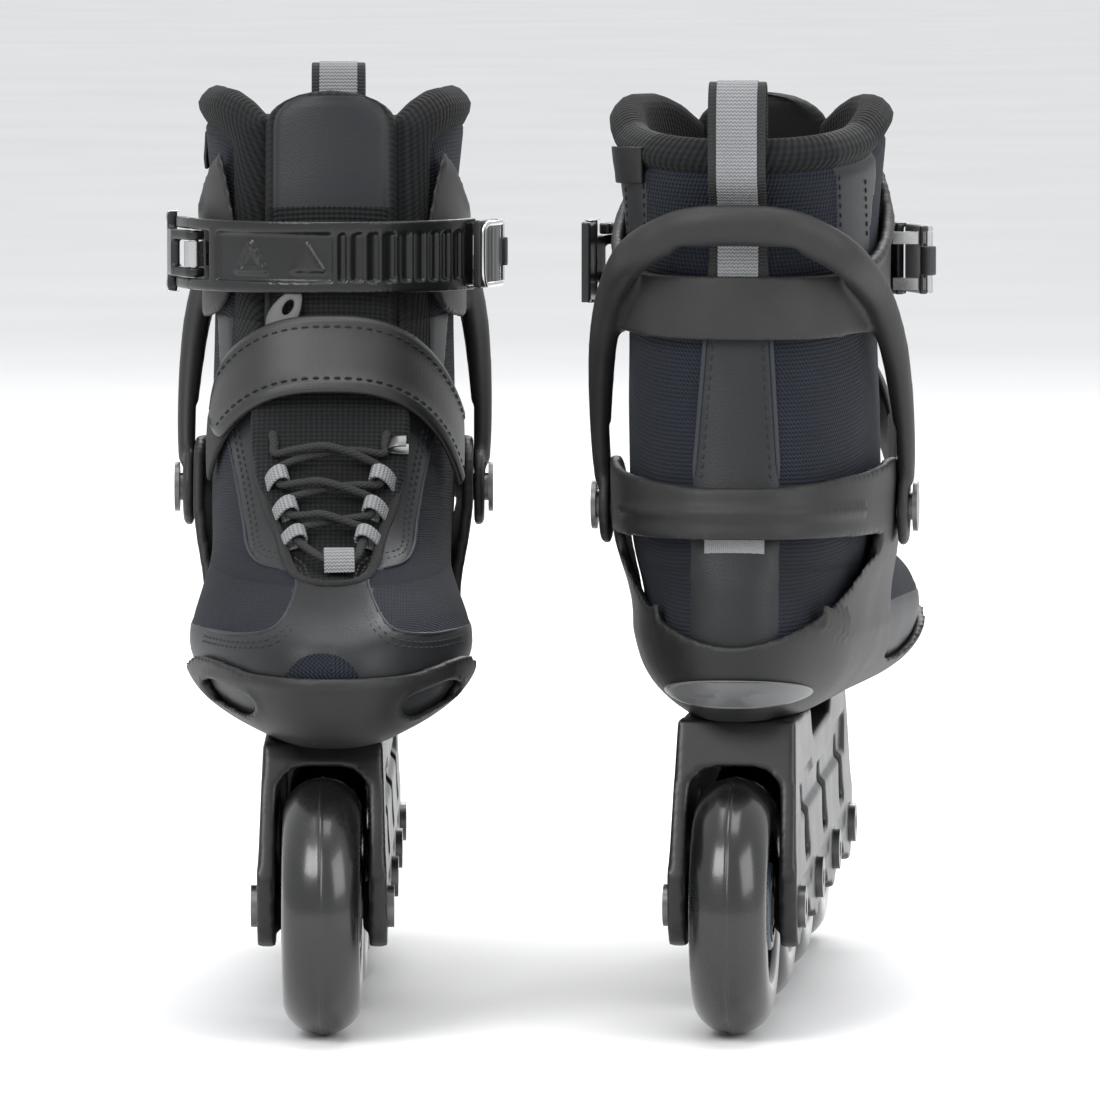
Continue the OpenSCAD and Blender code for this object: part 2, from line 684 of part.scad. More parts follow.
// A point on the strap's arc, and a stretch of ring with that arc
function on_arc(a, r) = [r * sin(a), strap_mid_y - r * cos(a), buckle_z];
lever_pin = on_arc(lever_at, strap_r + ladder_t / 2);
catch_pin = on_arc(84, strap_r + ladder_t + 3);

module strap_arc(r_in, r_out, z0, z1, a0, a1) {
    translate([0, strap_mid_y, buckle_z]) rotate([0, 0, 270 + a0])
        rotate_extrude(angle = a1 - a0, $fn = 120) translate([r_in, z0]) square([r_out - r_in, z1 - z0]);
}

module ladder_strap() {
    half = ladder_w / 2;
    tooth_step = tooth_pitch / strap_r * 180 / PI;
    color([0.11, 0.11, 0.12]) as_mesh() {
        strap_arc(strap_r, strap_r + ladder_t, -half, half, lever_at + 14, 3);
        strap_arc(strap_r, strap_r + ladder_t * 0.5, rail - half - 0.5, half - rail + 0.5, 2.5, catch_at + 4);
        for (z = [-half, half - rail]) {
            strap_arc(strap_r, strap_r + ladder_t, z, z + rail, 2.5, catch_at - 6);
            strap_arc(strap_r, strap_r + ladder_t, z, z + rail, lever_at - 18, lever_at + 14.5);
        }
        for (t = [6:tooth_step:catch_at - 4])
            strap_arc(strap_r + ladder_t * 0.4, strap_r + ladder_t * 0.9, rail - half + 0.5, half - rail - 0.5,
                      t, t + tooth_step * 0.55);
    }
}

// What carries the lever and the catch, on the outside of the cuff
module buckle_mounts() {
    ear = knuckle_r * 1.25;
    color([0.15, 0.15, 0.16]) {
        as_mesh() difference() {
            union() {
                translate(on_arc(lever_at, strap_r - 5)) rotate([0, 0, lever_at - 90])
                    translate([-5, -2.5, -ear]) cube([10 - knuckle_r - running, 5, 2 * ear]);
                for (s = [-1, 1])
                    translate(catch_pin + [-12, -2.4, s > 0 ? catch_ear_in : -catch_ear_in - 3.8]) cube([9, 4.8, 3.8]);
            }
            cuff_skin();
        }
    }
    color([0.75, 0.76, 0.78]) {
        translate(lever_pin) cylinder(d = pin_d, h = ladder_w - 2 * rail - 0.6, center = true);
        translate(lever_pin) difference() {
            cylinder(r = knuckle_r, h = 2 * ear, center = true);
            cylinder(d = pin_d, h = far, center = true);
        }
        translate(catch_pin) cylinder(d = pin_d, h = 2 * (catch_ear_in + 3.8), center = true);
    }
}

// The outside of the cuff, with a little room
module cuff_skin() {
    form([0.5, 0.58, 0.66, 0.74, 0.82, 0.9, 1], 4.7);
}

// Lever along +Y from its pin: cheeks between the strap's legs, then the wide handle
module buckle_lever() {
    cheek_in = knuckle_r * 1.25 + slack;
    leg_in = ladder_w / 2 - rail - slack;
    color([0.13, 0.13, 0.14]) difference() {
        translate(lever_pin) rotate([0, 0, 5]) {
            for (z = [-leg_in, cheek_in]) translate([0, 0, z]) linear_extrude(leg_in - cheek_in) hull() {
                circle(r = 3.4, $fn = 32);
                translate([-7, 8]) square([3, 4]);
            }
            translate([-7, 7, -leg_in]) cube([3, 16, 2 * leg_in]);
            translate([-7, 20, -handle_w / 2]) cube([3, lever_l - 20, handle_w]);
        }
        translate(lever_pin) cylinder(r = pin_d / 2 + running, h = far, center = true);
    }
}

module strap_catch() {
    inner = strap_r + ladder_t + 0.9;
    color([0.22, 0.22, 0.23]) difference() {
        as_mesh() {
            strap_arc(inner, inner + 3, -catch_w / 2, catch_w / 2, catch_at - 2, 78);
            strap_arc(inner, inner + 3, -4.8, 4.8, 77, 82);
            translate(catch_pin) cylinder(r = 2.6, h = 9.6, center = true);
        }
        translate(catch_pin) cylinder(r = pin_d / 2 + running, h = far, center = true);
    }
}

// ---- the pair ----
module piece(name) {
    if (name == "frame") frame();
    if (name == "axles") axles();
    if (name == "bearings") bearings();
    if (name == "frame_bolts") frame_bolts();
    if (name == "shell") shell();
    if (name == "reflector") reflector();
    if (name == "boot") boot();
    if (name == "insole") insole();
    if (name == "heel_pad") heel_pad();
    if (name == "tongue_base") tongue_base();
    if (name == "laces") laces();
    if (name == "lace_loops") lace_loops();
    if (name == "instep_strap") instep_strap();
    if (name == "hinge_rivets") hinge_rivets();
    if (name == "cuff") cuff();
    if (name == "collar") collar();
    if (name == "tongue") tongue();
    if (name == "heel_tab") heel_tab();
    if (name == "buckle_mounts") buckle_mounts();
    if (name == "ladder_strap") ladder_strap();
    if (name == "buckle_lever") buckle_lever();
    if (name == "strap_catch") strap_catch();
    for (i = [1:4]) {
        if (name == str("tyre_", i)) tyre(i);
        if (name == str("hub_", i)) hub(i);
    }
}

for (name = SIDE_NODES) {
    translate([-skate_offset, 0, 0]) piece(name);
    translate([skate_offset, 0, 0]) rotate([0, 0, -left_turn]) mirror([0, 1, 0]) piece(name);
}
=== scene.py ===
"""A pair of recreational inline skates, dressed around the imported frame.

Each skate is modelled once in its own frame, in metres: toe towards -Y, lateral side towards -X, floor at Z = 0.
A placement read from the frame's wheel joints then sets it down as the right skate, and mirrored as the left one.
"""
import json
import logging
import math
import random
from bisect import bisect_right
from dataclasses import dataclass, field
from enum import Enum
from typing import Callable, Iterable, Sequence

import bmesh
import bpy
from mathutils import Matrix, Vector
from mathutils.kdtree import KDTree

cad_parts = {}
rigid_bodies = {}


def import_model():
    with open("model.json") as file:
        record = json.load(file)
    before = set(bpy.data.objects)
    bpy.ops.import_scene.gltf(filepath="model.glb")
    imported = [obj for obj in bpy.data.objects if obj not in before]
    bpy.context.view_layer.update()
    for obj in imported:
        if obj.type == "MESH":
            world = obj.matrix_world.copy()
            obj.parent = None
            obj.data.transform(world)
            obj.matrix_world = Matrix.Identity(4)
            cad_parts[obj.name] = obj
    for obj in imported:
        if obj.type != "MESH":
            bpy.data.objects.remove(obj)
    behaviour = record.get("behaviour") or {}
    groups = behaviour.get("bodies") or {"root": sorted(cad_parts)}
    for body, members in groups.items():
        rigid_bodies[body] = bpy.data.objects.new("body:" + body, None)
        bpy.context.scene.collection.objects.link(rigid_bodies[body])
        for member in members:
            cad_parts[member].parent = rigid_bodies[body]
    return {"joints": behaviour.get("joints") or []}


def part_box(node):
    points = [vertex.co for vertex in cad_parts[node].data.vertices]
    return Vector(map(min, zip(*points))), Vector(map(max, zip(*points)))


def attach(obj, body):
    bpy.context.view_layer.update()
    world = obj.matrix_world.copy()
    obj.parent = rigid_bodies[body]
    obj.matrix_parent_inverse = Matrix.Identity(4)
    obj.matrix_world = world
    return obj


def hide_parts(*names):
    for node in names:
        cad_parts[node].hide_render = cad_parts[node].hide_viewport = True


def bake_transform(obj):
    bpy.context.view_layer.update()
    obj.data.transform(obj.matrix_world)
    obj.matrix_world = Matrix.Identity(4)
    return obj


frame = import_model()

logging.basicConfig(level=logging.INFO, format="%(levelname)s %(message)s")
LOG = logging.getLogger("skates")

MM = 0.001
HINGE_SHARE = 0.873  # how far out on the boot's half width the hinge pads start
BEND = ((0, 35, 188), (0, 35, 216))  # two points on the textile, worked out on each skate but not used; nothing bends with the cuff
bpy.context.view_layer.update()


# ---------------------------------------------------------------- small helpers

class Side(Enum):
    """The two skates of the pair."""

    RIGHT = "right"
    LEFT = "left"


class Axis(Enum):
    """The local axis that a turned or extruded piece lies along."""

    X = "X"
    Y = "Y"
    Z = "Z"


def clamp(value: float, low: float = 0.0, high: float = 1.0) -> float:
    """The value held between low and high."""
    return max(low, min(high, value))


def ease(low: float, high: float, value: float) -> float:
    """A smooth step from 0 at low to 1 at high."""
    t = clamp((value - low) / (high - low))
    return t * t * (3 - 2 * t)


def mix(a: float, b: float, t: float) -> float:
    """The value a share t of the way from a to b."""
    return a + (b - a) * t


class Curve1D:
    """A smooth curve through points, with no overshoot between them."""

    def __init__(self, *points: tuple[float, float]) -> None:
        """Works out the slopes.

        Args:
            points: (x, y) pairs with rising x.
        """
        self.x = [p[0] for p in points]
        self.y = [p[1] for p in points]
        steps = [(y1 - y0) / (x1 - x0) for x0, x1, y0, y1 in zip(self.x, self.x[1:], self.y, self.y[1:])]
        inner = [0.0 if a * b <= 0 else 2 * a * b / (a + b) for a, b in zip(steps, steps[1:])]
        self.slope = [steps[0]] + inner + [steps[-1]]

    def __call__(self, x: float) -> float:
        """The curve's height at x, level beyond its ends."""
        if x <= self.x[0]:
            return self.y[0]
        if x >= self.x[-1]:
            return self.y[-1]
        i = bisect_right(self.x, x) - 1
        w = self.x[i + 1] - self.x[i]
        t = (x - self.x[i]) / w
        h0, h1 = (1 + 2 * t) * (1 - t) ** 2, t * (1 - t) ** 2
        h2, h3 = t * t * (3 - 2 * t), t * t * (t - 1)
        return h0 * self.y[i] + h1 * w * self.slope[i] + h2 * self.y[i + 1] + h3 * w * self.slope[i + 1]


def deselect() -> None:
    """Leaves object mode with nothing selected."""
    if bpy.context.object and bpy.context.object.mode != "OBJECT":
        bpy.ops.object.mode_set(mode="OBJECT")
    bpy.ops.object.select_all(action="DESELECT")


def activate(obj: bpy.types.Object) -> bpy.types.Object:
    """Selects one object and makes it the active one."""
    deselect()
    obj.select_set(True)
    bpy.context.view_layer.objects.active = obj
    return obj


def settle(obj: bpy.types.Object) -> bpy.types.Object:
    """Moves an object's place into its mesh."""
    activate(obj)
    bpy.ops.object.transform_apply(location=True, rotation=True, scale=True)
    return obj


def modify(obj: bpy.types.Object, kind: str, **settings: object) -> bpy.types.Object:
    """Adds one modifier and applies it.

    Args:
        obj: the piece.
        kind: Blender's modifier type.
        settings: the modifier's own values.
    """
    activate(obj)
    added = obj.modifiers.new(kind.title(), kind)
    for name, value in settings.items():
        setattr(added, name, value)
    bpy.ops.object.modifier_apply(modifier=added.name)
    return obj


def combine(obj: bpy.types.Object, other: bpy.types.Object, operation: str) -> bpy.types.Object:
    """Cuts, joins or crosses one closed piece with another, which is used up."""
    modify(obj, "BOOLEAN", operation=operation, object=other, solver="MANIFOLD")
    bpy.data.objects.remove(other, do_unlink=True)
    return obj


def join(*pieces: bpy.types.Object) -> bpy.types.Object:
    """Joins pieces into the first one, each keeping its own shell."""
    deselect()
    for piece in pieces:
        piece.select_set(True)
    bpy.context.view_layer.objects.active = pieces[0]
    bpy.ops.object.join()
    return pieces[0]


def soften(obj: bpy.types.Object, angle: float = 35.0) -> bpy.types.Object:
    """Shades a piece smooth except at edges sharper than angle, in degrees."""
    activate(obj)
    bpy.ops.object.shade_smooth_by_angle(angle=math.radians(angle))
    return obj


def bevel(obj: bpy.types.Object, width: float, segments: int = 2, angle: float = 30.0) -> bpy.types.Object:
    """Rounds a piece's sharp edges by width, in millimetres."""
    modify(obj, "BEVEL", width=width * MM, segments=segments, limit_method="ANGLE",
           angle_limit=math.radians(angle), use_clamp_overlap=True, harden_normals=False)
    return obj


def mould(obj: bpy.types.Object, voxel: float, passes: int = 4) -> bpy.types.Object:
    """Gives a moulded piece its small rounded edges: an even mesh, then smoothing.

    Args:
        obj: the closed piece.
        voxel: the mesh size in millimetres.
        passes: how often the mesh is smoothed.
    """
    modify(obj, "REMESH", mode="VOXEL", voxel_size=voxel * MM, use_smooth_shade=True)
    modify(obj, "SMOOTH", factor=0.5, iterations=passes)
    return obj


def mesh_piece(name: str, points: Sequence[Vector], faces: Sequence[Sequence[int]]) -> bpy.types.Object:
    """A new object from points in millimetres and faces."""
    mesh = bpy.data.meshes.new(name)
    mesh.from_pydata([Vector(p) * MM for p in points], [], faces)
    mesh.update()
    obj = bpy.data.objects.new(name, mesh)
    bpy.context.collection.objects.link(obj)
    return obj


def skin_faces(rings: int, count: int) -> list[list[int]]:
    """The quads between rings of count points, ring by ring."""
    return [[j * count + i, j * count + (i + 1) % count, (j + 1) * count + (i + 1) % count, (j + 1) * count + i]
            for j in range(rings - 1) for i in range(count)]


def weave(mesh: bpy.types.Mesh, uv: Sequence[tuple[float, float]]) -> None:
    """Gives a mesh the UV map that its cloth follows, from one place per vertex in metres."""
    layer = mesh.uv_layers.new(name="weave")
    layer.data.foreach_set("uv", [c for loop in mesh.loops for c in uv[loop.vertex_index]])


def heading(path: Sequence[Vector], i: int) -> Vector:
    """A path's direction at its point i."""
    return (path[min(i + 1, len(path) - 1)] - path[max(i - 1, 0)]).normalized()


def outwards(obj: bpy.types.Object) -> bpy.types.Object:
    """Merges doubles and turns all faces of a closed piece outwards."""
    bm = bmesh.new()
    bm.from_mesh(obj.data)
    bmesh.ops.remove_doubles(bm, verts=bm.verts, dist=1e-6)
    bmesh.ops.recalc_face_normals(bm, faces=bm.faces)
    bm.to_mesh(obj.data)
    bm.free()
    return obj


TURNS = {Axis.X: (0, math.pi / 2, 0), Axis.Y: (math.pi / 2, 0, 0), Axis.Z: (0, 0, 0)}


def rod(name: str, radius: float, low: float, high: float, centre: tuple[float, float], axis: Axis = Axis.X,
        sides: int = 48) -> bpy.types.Object:
    """A round bar along an axis, all in millimetres.

    Args:
        name: the piece's name.
        radius: the bar's radius.
        low: where it starts along the axis.
        high: where it ends along the axis.
        centre: its place on the two other axes, in X, Y, Z order.
        axis: the axis that it lies along.
        sides: the number of its sides.
    """
    middle = {Axis.X: ((low + high) / 2, *centre), Axis.Y: (centre[0], (low + high) / 2, centre[1]),
              Axis.Z: (*centre, (low + high) / 2)}[axis]
    deselect()
    bpy.ops.mesh.primitive_cylinder_add(vertices=sides, radius=radius * MM, depth=(high - low) * MM,
                                        location=Vector(middle) * MM, rotation=TURNS[axis])
    obj = settle(bpy.context.object)
    obj.name = name
    return obj


def block(name: str, low: Sequence[float], high: Sequence[float]) -> bpy.types.Object:
    """A box between two corners, in millimetres."""
    deselect()
    middle = (Vector(low) + Vector(high)) / 2
    bpy.ops.mesh.primitive_cube_add(size=1, location=middle * MM)
    obj = bpy.context.object
    obj.scale = (Vector(high) - Vector(low)) * MM
    obj.name = name
    return settle(obj)


def plate(name: str, outline: Sequence[tuple[float, float]], low: float, high: float,
          axis: Axis = Axis.X) -> bpy.types.Object:
    """An outline drawn square to an axis and extruded along it, in millimetres.

    Args:
        name: the piece's name.
        outline: the points on the two other axes, in X, Y, Z order.
        low: where the extrusion starts.
        high: where it ends.
        axis: the axis of the extrusion.
    """
    place = {Axis.X: lambda p: (low, p[0], p[1]), Axis.Y: lambda p: (p[0], low, p[1]),
             Axis.Z: lambda p: (p[0], p[1], low)}[axis]
    step = {Axis.X: (1, 0, 0), Axis.Y: (0, 1, 0), Axis.Z: (0, 0, 1)}[axis]
    obj = mesh_piece(name, [Vector(place(p)) for p in outline], [list(range(len(outline)))])
    activate(obj)
    bpy.ops.object.mode_set(mode="EDIT")
    bpy.ops.mesh.select_all(action="SELECT")
    bpy.ops.mesh.extrude_region_move(
        TRANSFORM_OT_translate={"value": Vector(step) * (high - low) * MM})
    bpy.ops.mesh.select_all(action="SELECT")
    bpy.ops.mesh.normals_make_consistent(inside=False)
    bpy.ops.object.mode_set(mode="OBJECT")
    return obj


def turned(name: str, profile: Sequence[tuple[float, float]], centre: Sequence[float], axis: Axis = Axis.X,
           steps: int = 96, ring: bool = True) -> bpy.types.Object:
    """A piece of revolution: its profile is spun about an axis.

    Args:
        name: the piece's name.
        profile: (radius, place along the axis) points in millimetres.
        centre: a point on the axis, where the place along the axis is 0.
        axis: the axis of the spin.
        steps: the number of steps in the full turn.
        ring: whether the profile is closed.
    """
    count = len(profile)
    edges = [(i, (i + 1) % count) for i in range(count if ring else count - 1)]
    mesh = bpy.data.meshes.new(name)
    make = {Axis.X: lambda r, a: (a, r, 0), Axis.Y: lambda r, a: (r, a, 0), Axis.Z: lambda r, a: (r, 0, a)}[axis]
    mesh.from_pydata([(Vector(make(r, a)) + Vector(centre)) * MM for r, a in profile], edges, [])
    obj = bpy.data.objects.new(name, mesh)
    bpy.context.collection.objects.link(obj)
    activate(obj)
    bpy.ops.object.mode_set(mode="EDIT")
    bpy.ops.mesh.select_all(action="SELECT")
    direction = {Axis.X: (1, 0, 0), Axis.Y: (0, 1, 0), Axis.Z: (0, 0, 1)}[axis]
    bpy.ops.mesh.spin(steps=steps, angle=2 * math.pi, center=Vector(centre) * MM, axis=direction)
    bpy.ops.mesh.select_all(action="SELECT")
    bpy.ops.mesh.remove_doubles(threshold=1e-6)
    bpy.ops.mesh.normals_make_consistent(inside=False)
    bpy.ops.object.mode_set(mode="OBJECT")
    return obj


def arc(centre: tuple[float, float], radius: float, start: float, end: float, steps: int = 8) -> list:
    """Points on an arc, with its angles in degrees."""
    return [(centre[0] + radius * math.cos(math.radians(mix(start, end, i / steps))),
             centre[1] + radius * math.sin(math.radians(mix(start, end, i / steps)))) for i in range(steps + 1)]


def smooth_line(points: Sequence[Sequence[float]], per_span: int = 6, closed: bool = False) -> list[Vector]:
    """A Catmull-Rom curve through points, open or closed."""
    p = [Vector(q) for q in points]
    n = len(p)
    line: list[Vector] = []
    for i in range(n if closed else n - 1):
        a, b, c, d = ((p[(i + k) % n] for k in (-1, 0, 1, 2)) if closed else
                      (p[max(i - 1, 0)], p[i], p[i + 1], p[min(i + 2, n - 1)]))
        for step in range(per_span):
            t = step / per_span
            line.append(0.5 * (2 * b + (c - a) * t + (2 * a - 5 * b + 4 * c - d) * t * t
                               + (3 * b - a - 3 * c + d) * t ** 3))
    if not closed:
        line.append(p[-1])
    return line


def sweep(name: str, path: Sequence[Vector], section: Callable[[float], Sequence[tuple[float, float]]],
          up: Callable[[Vector, float], Vector], closed: bool = False) -> bpy.types.Object:
    """A closed tube or band: a section carried along a path.

    Args:
        name: the piece's name.
        path: the middle line in millimetres.
        section: gives the section's (sideways, up) points at a share of the path's length.
        up: gives the section's up direction at a point and a share of the length.
        closed: whether the path is a loop.
    """
    n = len(path)
    lengths = [0.0]
    for a, b in zip(path, path[1:]):
        lengths.append(lengths[-1] + (b - a).length)
    points: list[Vector] = []
    for i, place in enumerate(path):
        share = lengths[i] / lengths[-1]
        ahead = path[(i + 1) % n] if closed else path[min(i + 1, n - 1)]
        behind = path[i - 1] if closed or i else path[0]
        along = (ahead - behind).normalized()
        side = along.cross(up(place, share)).normalized()
        lift = side.cross(along)
        points += [place + side * s + lift * u for s, u in section(share)]
    m = len(points) // n
    rings = n if closed else n - 1
    faces = [[i * m + j, i * m + (j + 1) % m, (i + 1) % n * m + (j + 1) % m, (i + 1) % n * m + j]
             for i in range(rings) for j in range(m)]
    if not closed:
        faces += [list(range(m)), [(n - 1) * m + j for j in range(m)]]
    return outwards(mesh_piece(name, points, faces))


def round_section(radius: float, sides: int = 12) -> Callable[[float], list[tuple[float, float]]]:
    """A section function for a round cord."""
    ring = [(radius * math.cos(2 * math.pi * i / sides), radius * math.sin(2 * math.pi * i / sides))
            for i in range(sides)]
    return lambda share: ring


def flat_section(half: float, thick: float, edge: float = 0.8) -> list[tuple[float, float]]:
    """A strap's section with rounded edges: half its width each way, lying on its path."""
    points = []
    for cx, cz, start in ((half - edge, edge, -90), (half - edge, thick - edge, 0),
                          (edge - half, thick - edge, 90), (edge - half, edge, 180)):
        points += arc((cx, cz), edge, start, start + 90, 3)
    return points


# ---------------------------------------------------------------- placement and the boot's form

@dataclass(frozen=True)
class Placement:
    """Where one skate stands: its local frame in the row frame, in metres."""

    side: Side
    matrix: Matrix

    @classmethod
    def of(cls, side: Side) -> "Placement":
        """Reads a skate's place from its first and last wheel joints."""
        spin = {joint["name"]: Vector(joint["pos_m"]) for joint in frame["joints"] if "pos_m" in joint}
        toe, heel = (spin[f"{side.value}_wheel_{i}_spin"] for i in (1, 4))
        ahead = (toe - heel).normalized()
        up = Vector((0, 0, 1))
        inner = up.cross(ahead) if side is Side.RIGHT else ahead.cross(up)
        middle = (toe + heel) / 2
        columns = Matrix((inner, -ahead, up)).transposed().to_4x4()
        return cls(side, Matrix.Translation((middle.x, middle.y, 0)) @ columns)

    def apply(self, obj: bpy.types.Object, name: str) -> bpy.types.Object:
        """A copy of a piece, set down in this place with its own mesh."""
        copy = obj.copy()
        copy.data = obj.data.copy()
        copy.name = copy.data.name = f"{self.side.value}_{name}"
        bpy.context.collection.objects.link(copy)
        copy.data.transform(self.matrix)
        if self.matrix.determinant() < 0:
            copy.data.flip_normals()
        return copy

    def point(self, place: Sequence[float]) -> Vector:
        """A local point in millimetres as a point of the row frame in metres."""
        return self.matrix @ (Vector(place) * MM)


@dataclass
class BootForm:
    """The boot's outer form: one outline of the foot and leg at each height, in millimetres."""

    toe_reach: float
    length: float
    width: float
    sole_z: float
    height: float = 192.0
    heel_rise: float = 8.0
    toe_swing: float = 3.5
    front_line: Curve1D = field(default_factory=lambda: Curve1D(
        (-0.03, 0.06), (0, 0.032), (0.05, 0.011), (0.10, 0), (0.14, 0.01), (0.17, 0.04), (0.19, 0.085),
        (0.21, 0.15), (0.235, 0.22), (0.26, 0.262), (0.30, 0.302), (0.365, 0.348), (0.443, 0.392), (0.52, 0.43),
        (0.615, 0.466), (0.729, 0.493), (0.86, 0.514), (1, 0.532)))
    back_line: Curve1D = field(default_factory=lambda: Curve1D(
        (-0.03, 0.95), (0, 0.975), (0.05, 0.993), (0.10, 1), (0.18, 0.993), (0.26, 0.978), (0.36, 0.96),
        (0.47, 0.945), (0.6, 0.93), (0.75, 0.925), (0.88, 0.94), (1, 0.96)))
    plan_width: Curve1D = field(default_factory=lambda: Curve1D(
        (0, 0.94), (0.13, 1.06), (0.23, 1.09), (0.38, 0.97), (0.52, 0.85), (0.70, 0.81), (0.86, 0.82), (1, 0.77)))
    shaft_width: Curve1D = field(default_factory=lambda: Curve1D(
        (0.3, 0.88), (0.45, 0.88), (0.6, 0.87), (0.75, 0.88), (0.88, 0.93), (1, 0.99)))
    bowl_width: Curve1D = field(default_factory=lambda: Curve1D(
        (-0.026, 0.44), (0, 0.68), (0.031, 0.85), (0.0625, 0.94), (0.104, 1)))

    @classmethod
    def of_frame(cls) -> "BootForm":
        """Takes the form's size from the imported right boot."""
        low, high = (Vector(corner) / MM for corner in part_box("right_boot"))
        middle = Placement.of(Side.RIGHT).matrix.translation.y / MM
        length = high.y - low.y
        first = cls(middle - low.y, length, 100.0, low.z)
        first.sole_z = low.z - first.rise(first.front_y(0))
        sides = [first.point(a, h).x for a in range(2, 360, 2) for h in range(4, 92, 4)]
        first.width *= (high.x - low.x) / (max(sides) - min(sides))
        return first

    def rise(self, y: float) -> float:
        """How much higher the sole is at y than at the toe."""
        return self.heel_rise * (y + self.toe_reach) / self.length

    def front_y(self, h: float) -> float:
        """The front of the outline at height h above the sole."""
        return self.front_line(h / self.height) * self.length - self.toe_reach

    def back_y(self, h: float) -> float:
        """The back of the outline at height h above the sole."""
        return self.back_line(h / self.height) * self.length - self.toe_reach

    def swing(self, y: float) -> float:
        """How far the middle line lies towards the big toe."""
        return self.toe_swing * (1 - ease(0, 0.5, (y + self.toe_reach) / self.length))

    def half(self, y: float, h: float) -> float:
        """Half the width at y and height h, before the outline is rounded."""
        k = h / self.height
        share = (y + self.toe_reach) / self.length
        return (self.width / 2 * self.bowl_width(k)
                * mix(self.plan_width(share), self.shaft_width(k), ease(0.12, 0.3, k)))

    def point(self, angle: float, h: float, grow: float = 0.0) -> Vector:
        """A point of the skin.

        Args:
            angle: 0 at the toe, 90 on the inner side, 180 at the heel, 270 on the lateral side.
            h: the height above the sole.
            grow: how far outside the skin the point is, on the level.
        """
        a = math.radians(angle)
        y = mix(self.front_y(h) - grow, self.back_y(h) + grow, (1 - math.cos(a)) / 2)
        reach = (self.half(y, h) + grow) * abs(math.sin(a)) ** 0.75
        return Vector((self.swing(y) + math.copysign(reach, math.sin(a)), y, self.sole_z + h + self.rise(y)))

    def normal(self, angle: float, h: float) -> Vector:
        """The skin's outward direction."""
        step = 1.5
        around = self.point(angle + step, h) - self.point(angle - step, h)
        upward = self.point(angle, h + 1) - self.point(angle, h - 1)
        n = around.cross(upward)
        return n.normalized() if n.length > 1e-9 else Vector((0, 0, 1))

    def reach(self, y: float, h: float) -> float:
        """The real half width at y and height h, or -1 outside the outline."""
        front, back = self.front_y(h), self.back_y(h)
        if not front < y < back:
            return -1.0
        return self.half(y, h) * math.sin(math.acos(1 - 2 * (y - front) / (back - front))) ** 0.75

    def height_over(self, x: float, y: float) -> float:
        """The height above the sole of the skin's upper side at x and y."""
        off = abs(x - self.swing(y))
        low, high = 18.0, self.height
        while high - low > 0.05:
            middle = (low + high) / 2
            if self.reach(y, middle) >= off:
                low = middle
            else:
                high = middle
        return low

    def on_top(self, x: float, y: float) -> tuple[float, float]:
        """The angle and height of the upper skin at x and y."""
        h = self.height_over(x, y)
        front, back = self.front_y(h), self.back_y(h)
        a = math.degrees(math.acos(clamp(1 - 2 * (y - front) / (back - front), -1, 1)))
        return (a if x >= self.swing(y) else 360 - a), h

    def on_front(self, x: float, z: float) -> tuple[float, float]:
        """The angle and height of the forefoot's skin, seen from the front, at x from the middle line and z."""
        h, low = z - self.sole_z - 2, 0.0
        for _ in range(5):
            low, high = 0.0, 92.0
            for _ in range(22):
                a = (low + high) / 2
                p = self.point(a, h)
                if p.x - self.swing(p.y) < x:
                    low = a
                else:
                    high = a
            h = z - self.sole_z - self.rise(self.point(low, h).y)
        return low, h

    def on_side(self, y: float, z: float, inner: bool) -> tuple[float, float]:
        """The angle and height of the skin at y and z, on the inner or the lateral side."""
        h = z - self.sole_z - self.rise(y)
        front, back = self.front_y(h), self.back_y(h)
        a = math.degrees(math.acos(clamp(1 - 2 * (y - front) / (back - front), -1, 1)))
        return (a if inner else 360 - a), h

    def on_back(self, x: float, z: float) -> tuple[float, float]:
        """The angle and height of the skin behind the heel at x and z."""
        h = z - self.sole_z - self.rise(self.toe_reach * 0.8)
        y = self.back_y(h) - 5
        share = clamp(abs(x) / max(self.half(y, h), 1.0), 0, 0.999)
        a = 180 - math.degrees(math.asin(share ** (1 / 0.75)))
        return (a if x >= 0 else 360 - a), h


FORM = BootForm.of_frame()


def in_mm(corner: Sequence[float]) -> Vector:
    """A packed corner of the right skate as a local point in millimetres."""
    return Placement.of(Side.RIGHT).matrix.inverted() @ Vector(corner) / MM


def heel_strip(z: float) -> float:
    """Half the width of the smooth strip up the heel, at height z."""
    return mix(13.5, 7, clamp((z - 165) / 95))


def box_mm(node: str) -> list[Vector]:
    """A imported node's low and high corners, as local points in millimetres."""
    return [in_mm(corner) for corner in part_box(node)]


def joint_place(name: str) -> Vector:
    """A joint of the right skate, as a local point in millimetres."""
    return next(in_mm(joint["pos_m"]) for joint in frame["joints"] if joint["name"] == f"right_{name}")


# ---------------------------------------------------------------- wheels and frame

